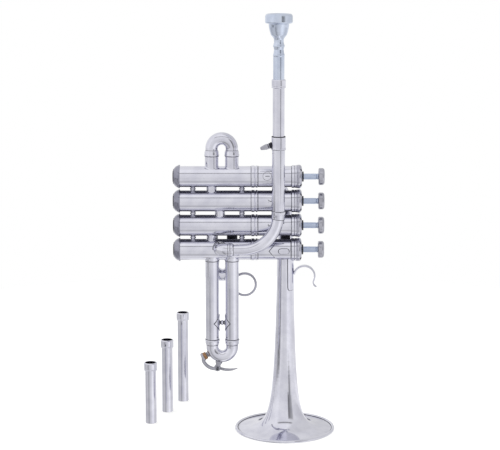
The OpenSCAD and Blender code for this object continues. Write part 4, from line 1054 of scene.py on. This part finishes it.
# Fourth slide's brace
# Two diamond pads wrapped on the outer legs, with a turned spool between them.
brace = bmesh.new()
brace_z = 115.7
diamond = [(-8.5, 0), (0, -8.6), (8.5, 0), (0, 8.6)]
for leg_x, turn in zip(leg_places, (90, -90)):
    pad_place = at(leg_x, valve_y, brace_z, turn)
    wrapped(brace, diamond, pad_place, leg_r + 0.01, 0.06, 0.5, 1)
    wrapped(brace, diamond, pad_place, leg_r, 0.7)
half_gap = leg_gap / 2 - leg_r
spool = [(0, -half_gap), (2.9, -half_gap), (2.7, 0.9 - half_gap), (1.7, 1.2 - half_gap)]
spool += [(1.6, -1.3), (2.3, -1.05), (2.7, -0.3)]
spool += [(r, -z) for r, z in reversed(spool)]
spool_place = at(slide_x, valve_y, brace_z, 90, "Y")
turned(brace, spool, 0.2, spool_place, 40)
for radius, level in ((1.8, 1.45), (2.9, half_gap - 0.4)):
    joint_line(brace, radius, -level, spool_place, 0.5, 40)
    joint_line(brace, radius, level, spool_place, 0.5, 40)
make_piece(brace, "leg_brace", "slide_4_brace")


# Finger ring
# Round wire bent into a ring and hard soldered to the third slide's bow.
# The ring's silver is a darker tone, as painted shade for the dark surroundings its thin wire reflects
ring_plate = plated("darkened_ring_silver", ("#a6a6b2", "#b8b8c3"), 0.12)
ring_x, ring_z = slide_x + 22.4, 150.6
bow_3_z = 170.1
ring = bmesh.new()
wire = round_points(11.2, 0, 1.2, range(0, 360, 18))
turned(ring, wire, 0, at(ring_x, 0, ring_z, 90, "X"), 96)
foot_way = Vector((ring_x - slide_x, 0, ring_z - bow_3_z))
foot_place = at(slide_x, 0, bow_3_z) @ foot_way.to_track_quat("Z", "Y").to_matrix().to_4x4()
foot_reach = foot_way.length - 12.5
outline = [
    (0, 15), (3, 15), (2.9, 15.9), (2.1, 16.5), (1.9, foot_reach), (2.2, foot_reach + 0.6),
    (0, foot_reach + 0.6),
]
turned(ring, outline, 0.2, foot_place, 32)
joint_line(ring, 2.1, foot_reach + 0.2, foot_place, 0.5, 32)
make_piece(ring, "ring_wire", "finger_ring", body="slide_3", finish=ring_plate)


# Clamp and thumb screw
# A collar turned from the solid is soldered round the receiver, with a boss for the
# thumb screw that presses on the leadpipe. The boss is painted near-black as painted shade round the
# screw.
clamp_low_z = 292.2
clamp = bmesh.new()
top = receiver_top_z - 0.05 - clamp_low_z
outline = [
    (receiver_r + 0.02, 0), (7.2, 0), (7.2, 1.1), (6.95, 1.5), (6.95, top - 0.45), (6.6, top),
    (receiver_r + 0.02, top),
]
clamp_place = at(lead_x, lead_y, clamp_low_z)
turned(clamp, outline, 0.15, clamp_place)
joint_line(clamp, 6.7, top - 0.05, clamp_place, 1.3)
joint_line(clamp, 6.9, -0.1, clamp_place, 0.4)
screw_place = at(lead_x, lead_y, 298.35, -107, "Y")
boss = [(1.6, 6.6), (3.3, 6.6), (3.2, 7.2), (2.8, 7.5), (2.8, 8.6), (2.5, 8.95), (1.6, 8.95)]
# Painted shade: the boss takes the near-black film
turned(clamp, boss, 0.15, screw_place, 40, 1)
make_piece(clamp, "clamp_ring", "clamp_collar")
screw = bmesh.new()
turned(screw, band(0, 1.5, 6.6, 9.1), 0, screw_place, 32)
collar = [(0, 9.05), (2.2, 9.05), (2.7, 9.3), (2.7, 9.9), (2.2, 10.2), (0, 10.2)]
turned(screw, collar, 0.15, screw_place, 40)
joint_line(screw, 2.4, 9.15, screw_place, 0.6, 32)
joint_line(screw, 2.2, 10.4, screw_place, 0.5, 40)
# The leaf's heights, with its half thickness and half width at each
leaf = [(10.1, 1.2, 1.6), (10.7, 1.35, 2.6), (12.4, 1.25, 2.7), (15, 1.1, 2.2)]
leaf += [(17.6, 1, 1.6), (18.2, 0.8, 1.2), (18.4, 0.4, 0.7)]
leaf = [((0, 0, level), Z, halves) for level, *halves in leaf]
swept(screw, leaf, 28, place=screw_place, side=Y)
make_piece(screw, "screw_leaf", "thumb_screw", body="thumb_screw_body", finish=button_plate)


# Water key
# A saddle with two ears and a drain nipple sits on the fourth slide's bow. A cast lever
# turns on a pin between the ears, and a wire spring holds its cork on the nipple.
bow_4_z = 90.9
key_x, key_z = -68.15, 69.0
key_w = 3.4
cork_angle = 209.0


def round_bow(angle):
    """Local Z points out from the bow's middle at an angle, local Y stays across."""
    return at(slide_x, valve_y, bow_4_z, 90 - angle, "Y")


from_bow = (key_z - bow_4_z, key_x - slide_x)
pivot_reach = math.hypot(*from_bow)
pivot_frame = round_bow(math.degrees(math.atan2(*from_bow)))
saddle = bmesh.new()
half = [(3.6, 15.6), (3, 17), (2.1, 19.5), (2.1, pivot_reach), (1.5, pivot_reach + 1.6)]
ear = half + [(0, pivot_reach + 2.2)] + [(-across, up) for across, up in reversed(half)]
for side in (-1, 1):
    near, far = sorted((side * (key_w / 2 + 0.2), side * (key_w / 2 + 1.4)))
    plate(saddle, ear, near, far, pivot_frame @ at(0, 0, 0, 90, "X"), 0.25)
plate(saddle, band(-3.4, 3.4, -3, 3), 15.2, 16.9, pivot_frame, 0.4)
cork_frame = round_bow(cork_angle)
nipple = [
    (1.4, 15.3), (3.2, 15.3), (3.1, 16.1), (2.5, 16.6), (2.3, 17.9), (2.1, 18.04), (1.4, 18.04),
]
turned(saddle, nipple, 0.15, cork_frame, 36)
joint_line(saddle, 2.6, 16.6, cork_frame, 0.6, 36)
make_piece(saddle, "key_saddle", "water_key_saddle", body="slide_4", finish=button_plate)

lever = bmesh.new()
arm_middle = Vector((key_x - 1.9, valve_y, key_z + 12.2))


def spoke(angle, reach):
    """A vector in the plane of the slide at an angle from +X towards +Z."""
    return Vector((math.cos(math.radians(angle)), 0, math.sin(math.radians(angle)))) * reach


arm = arc(arm_middle, spoke(187, 13.2), spoke(277, 1), 83, 1, steps=16)
for k, (centre, way, _) in enumerate(arm):
    arm[k] = (centre, way, (1.9 - 0.2 * k / 16, min(0.9 + 0.3 * k, 1.7)))
swept(lever, arm, 28, side=Y)
touch_middle = Vector((key_x + 11.1, valve_y, key_z + 23.6))
touch = arc(touch_middle, spoke(244, 25.6), spoke(334, 1), 47, 1, steps=16)
sizes = [Vector(size) for size in ((1.7, 1.25), (1.9, 1.35), (2.3, 1.2), (2.5, 0.8), (1.2, 0.25))]
for k, (centre, way, _) in enumerate(touch):
    number = min(k // 4, 3)
    touch[k] = (centre, way, sizes[number].lerp(sizes[number + 1], k / 4 - number))
swept(lever, touch, 28, side=Y)
pivot = at(key_x, valve_y, key_z, 90, "X")
hub = [(0.85, -1.7), (3.3, -1.7), (3.5, -1.2), (3.5, 1.2), (3.3, 1.7), (0.85, 1.7)]
turned(lever, hub, 0.2, pivot, 40)
cup = [(0, 21.98), (3.73, 21.98), (3.73, 20.8), (4.25, 20.8), (4.25, 22.6), (3.6, 23.4), (0, 23.6)]
turned(lever, cup, 0.2, cork_frame, 48)
make_piece(lever, "key_lever", "water_key_lever", body="water_key", finish=button_plate)

cork, shader, spot, _ = mottled("cut_cork", 0.0015, ("#86603f", "#b28a68"), 0.85, Detail=4.0)
tree = cork.node_tree
# Bark cells about 0.6 mm across, with darker pores between them
cells = add_node(tree, "TexVoronoi", [("Vector", spot)], Scale=1 / 0.0006)
pores = {"Strength": 0.6, "Distance": 0.0002}
add_node(tree, "Bump", [("Height", cells)], onto=shader.inputs["Normal"], **pores)
pad = bmesh.new()
outline = [(0, 18.06), (3.5, 18.06), (3.7, 18.9), (3.7, 21.96), (0, 21.96)]
turned(pad, outline, 0.25, cork_frame, 48)
make_piece(pad, "cork_pad", "water_key_cork", body="water_key", slot="cork", finish=cork)

pin = bmesh.new()
half = key_w / 2 + 1.9
outline = [(0, -half), (0.9, -half), (1.2, 0.3 - half), (1.2, 0.5 - half), (0.8, 0.5 - half)]
outline += [(r, -z) for r, z in reversed(outline)]
turned(pin, outline, 0.12, pivot, 32)
steel = {"body": "slide_4", "slot": "spring_steel", "finish": spring_steel}
make_piece(pin, "pivot_pin", "water_key_pin", **steel)

spring = bmesh.new()
# Three turns, with 18 points to a turn
coil_from = Vector((key_x, valve_y - key_w / 2 - 1.4 - 0.36, key_z))
run = []
for k in range(3 * 18 + 1):
    centre = coil_from - Y * 2.1 * k / (3 * 18) + spoke(20 * k, 1.2)
    run.append((centre, spoke(20 * k + 90, 1) - Y * 0.09, 0.3))
end = run[-1][0]
for step in ((1.5, 0.2, 0.6), (5.5, 1.2, -0.3)):
    run.append((end + Vector(step), Vector((1, 0, -0.15)), 0.3))
swept(spring, run, 10)
make_piece(spring, "key_spring", "water_key_spring", **steel)


sizes = {
    "cad": [list(corner) for corner in cad_bounds],
    "visual": [list(corner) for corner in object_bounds()],
}
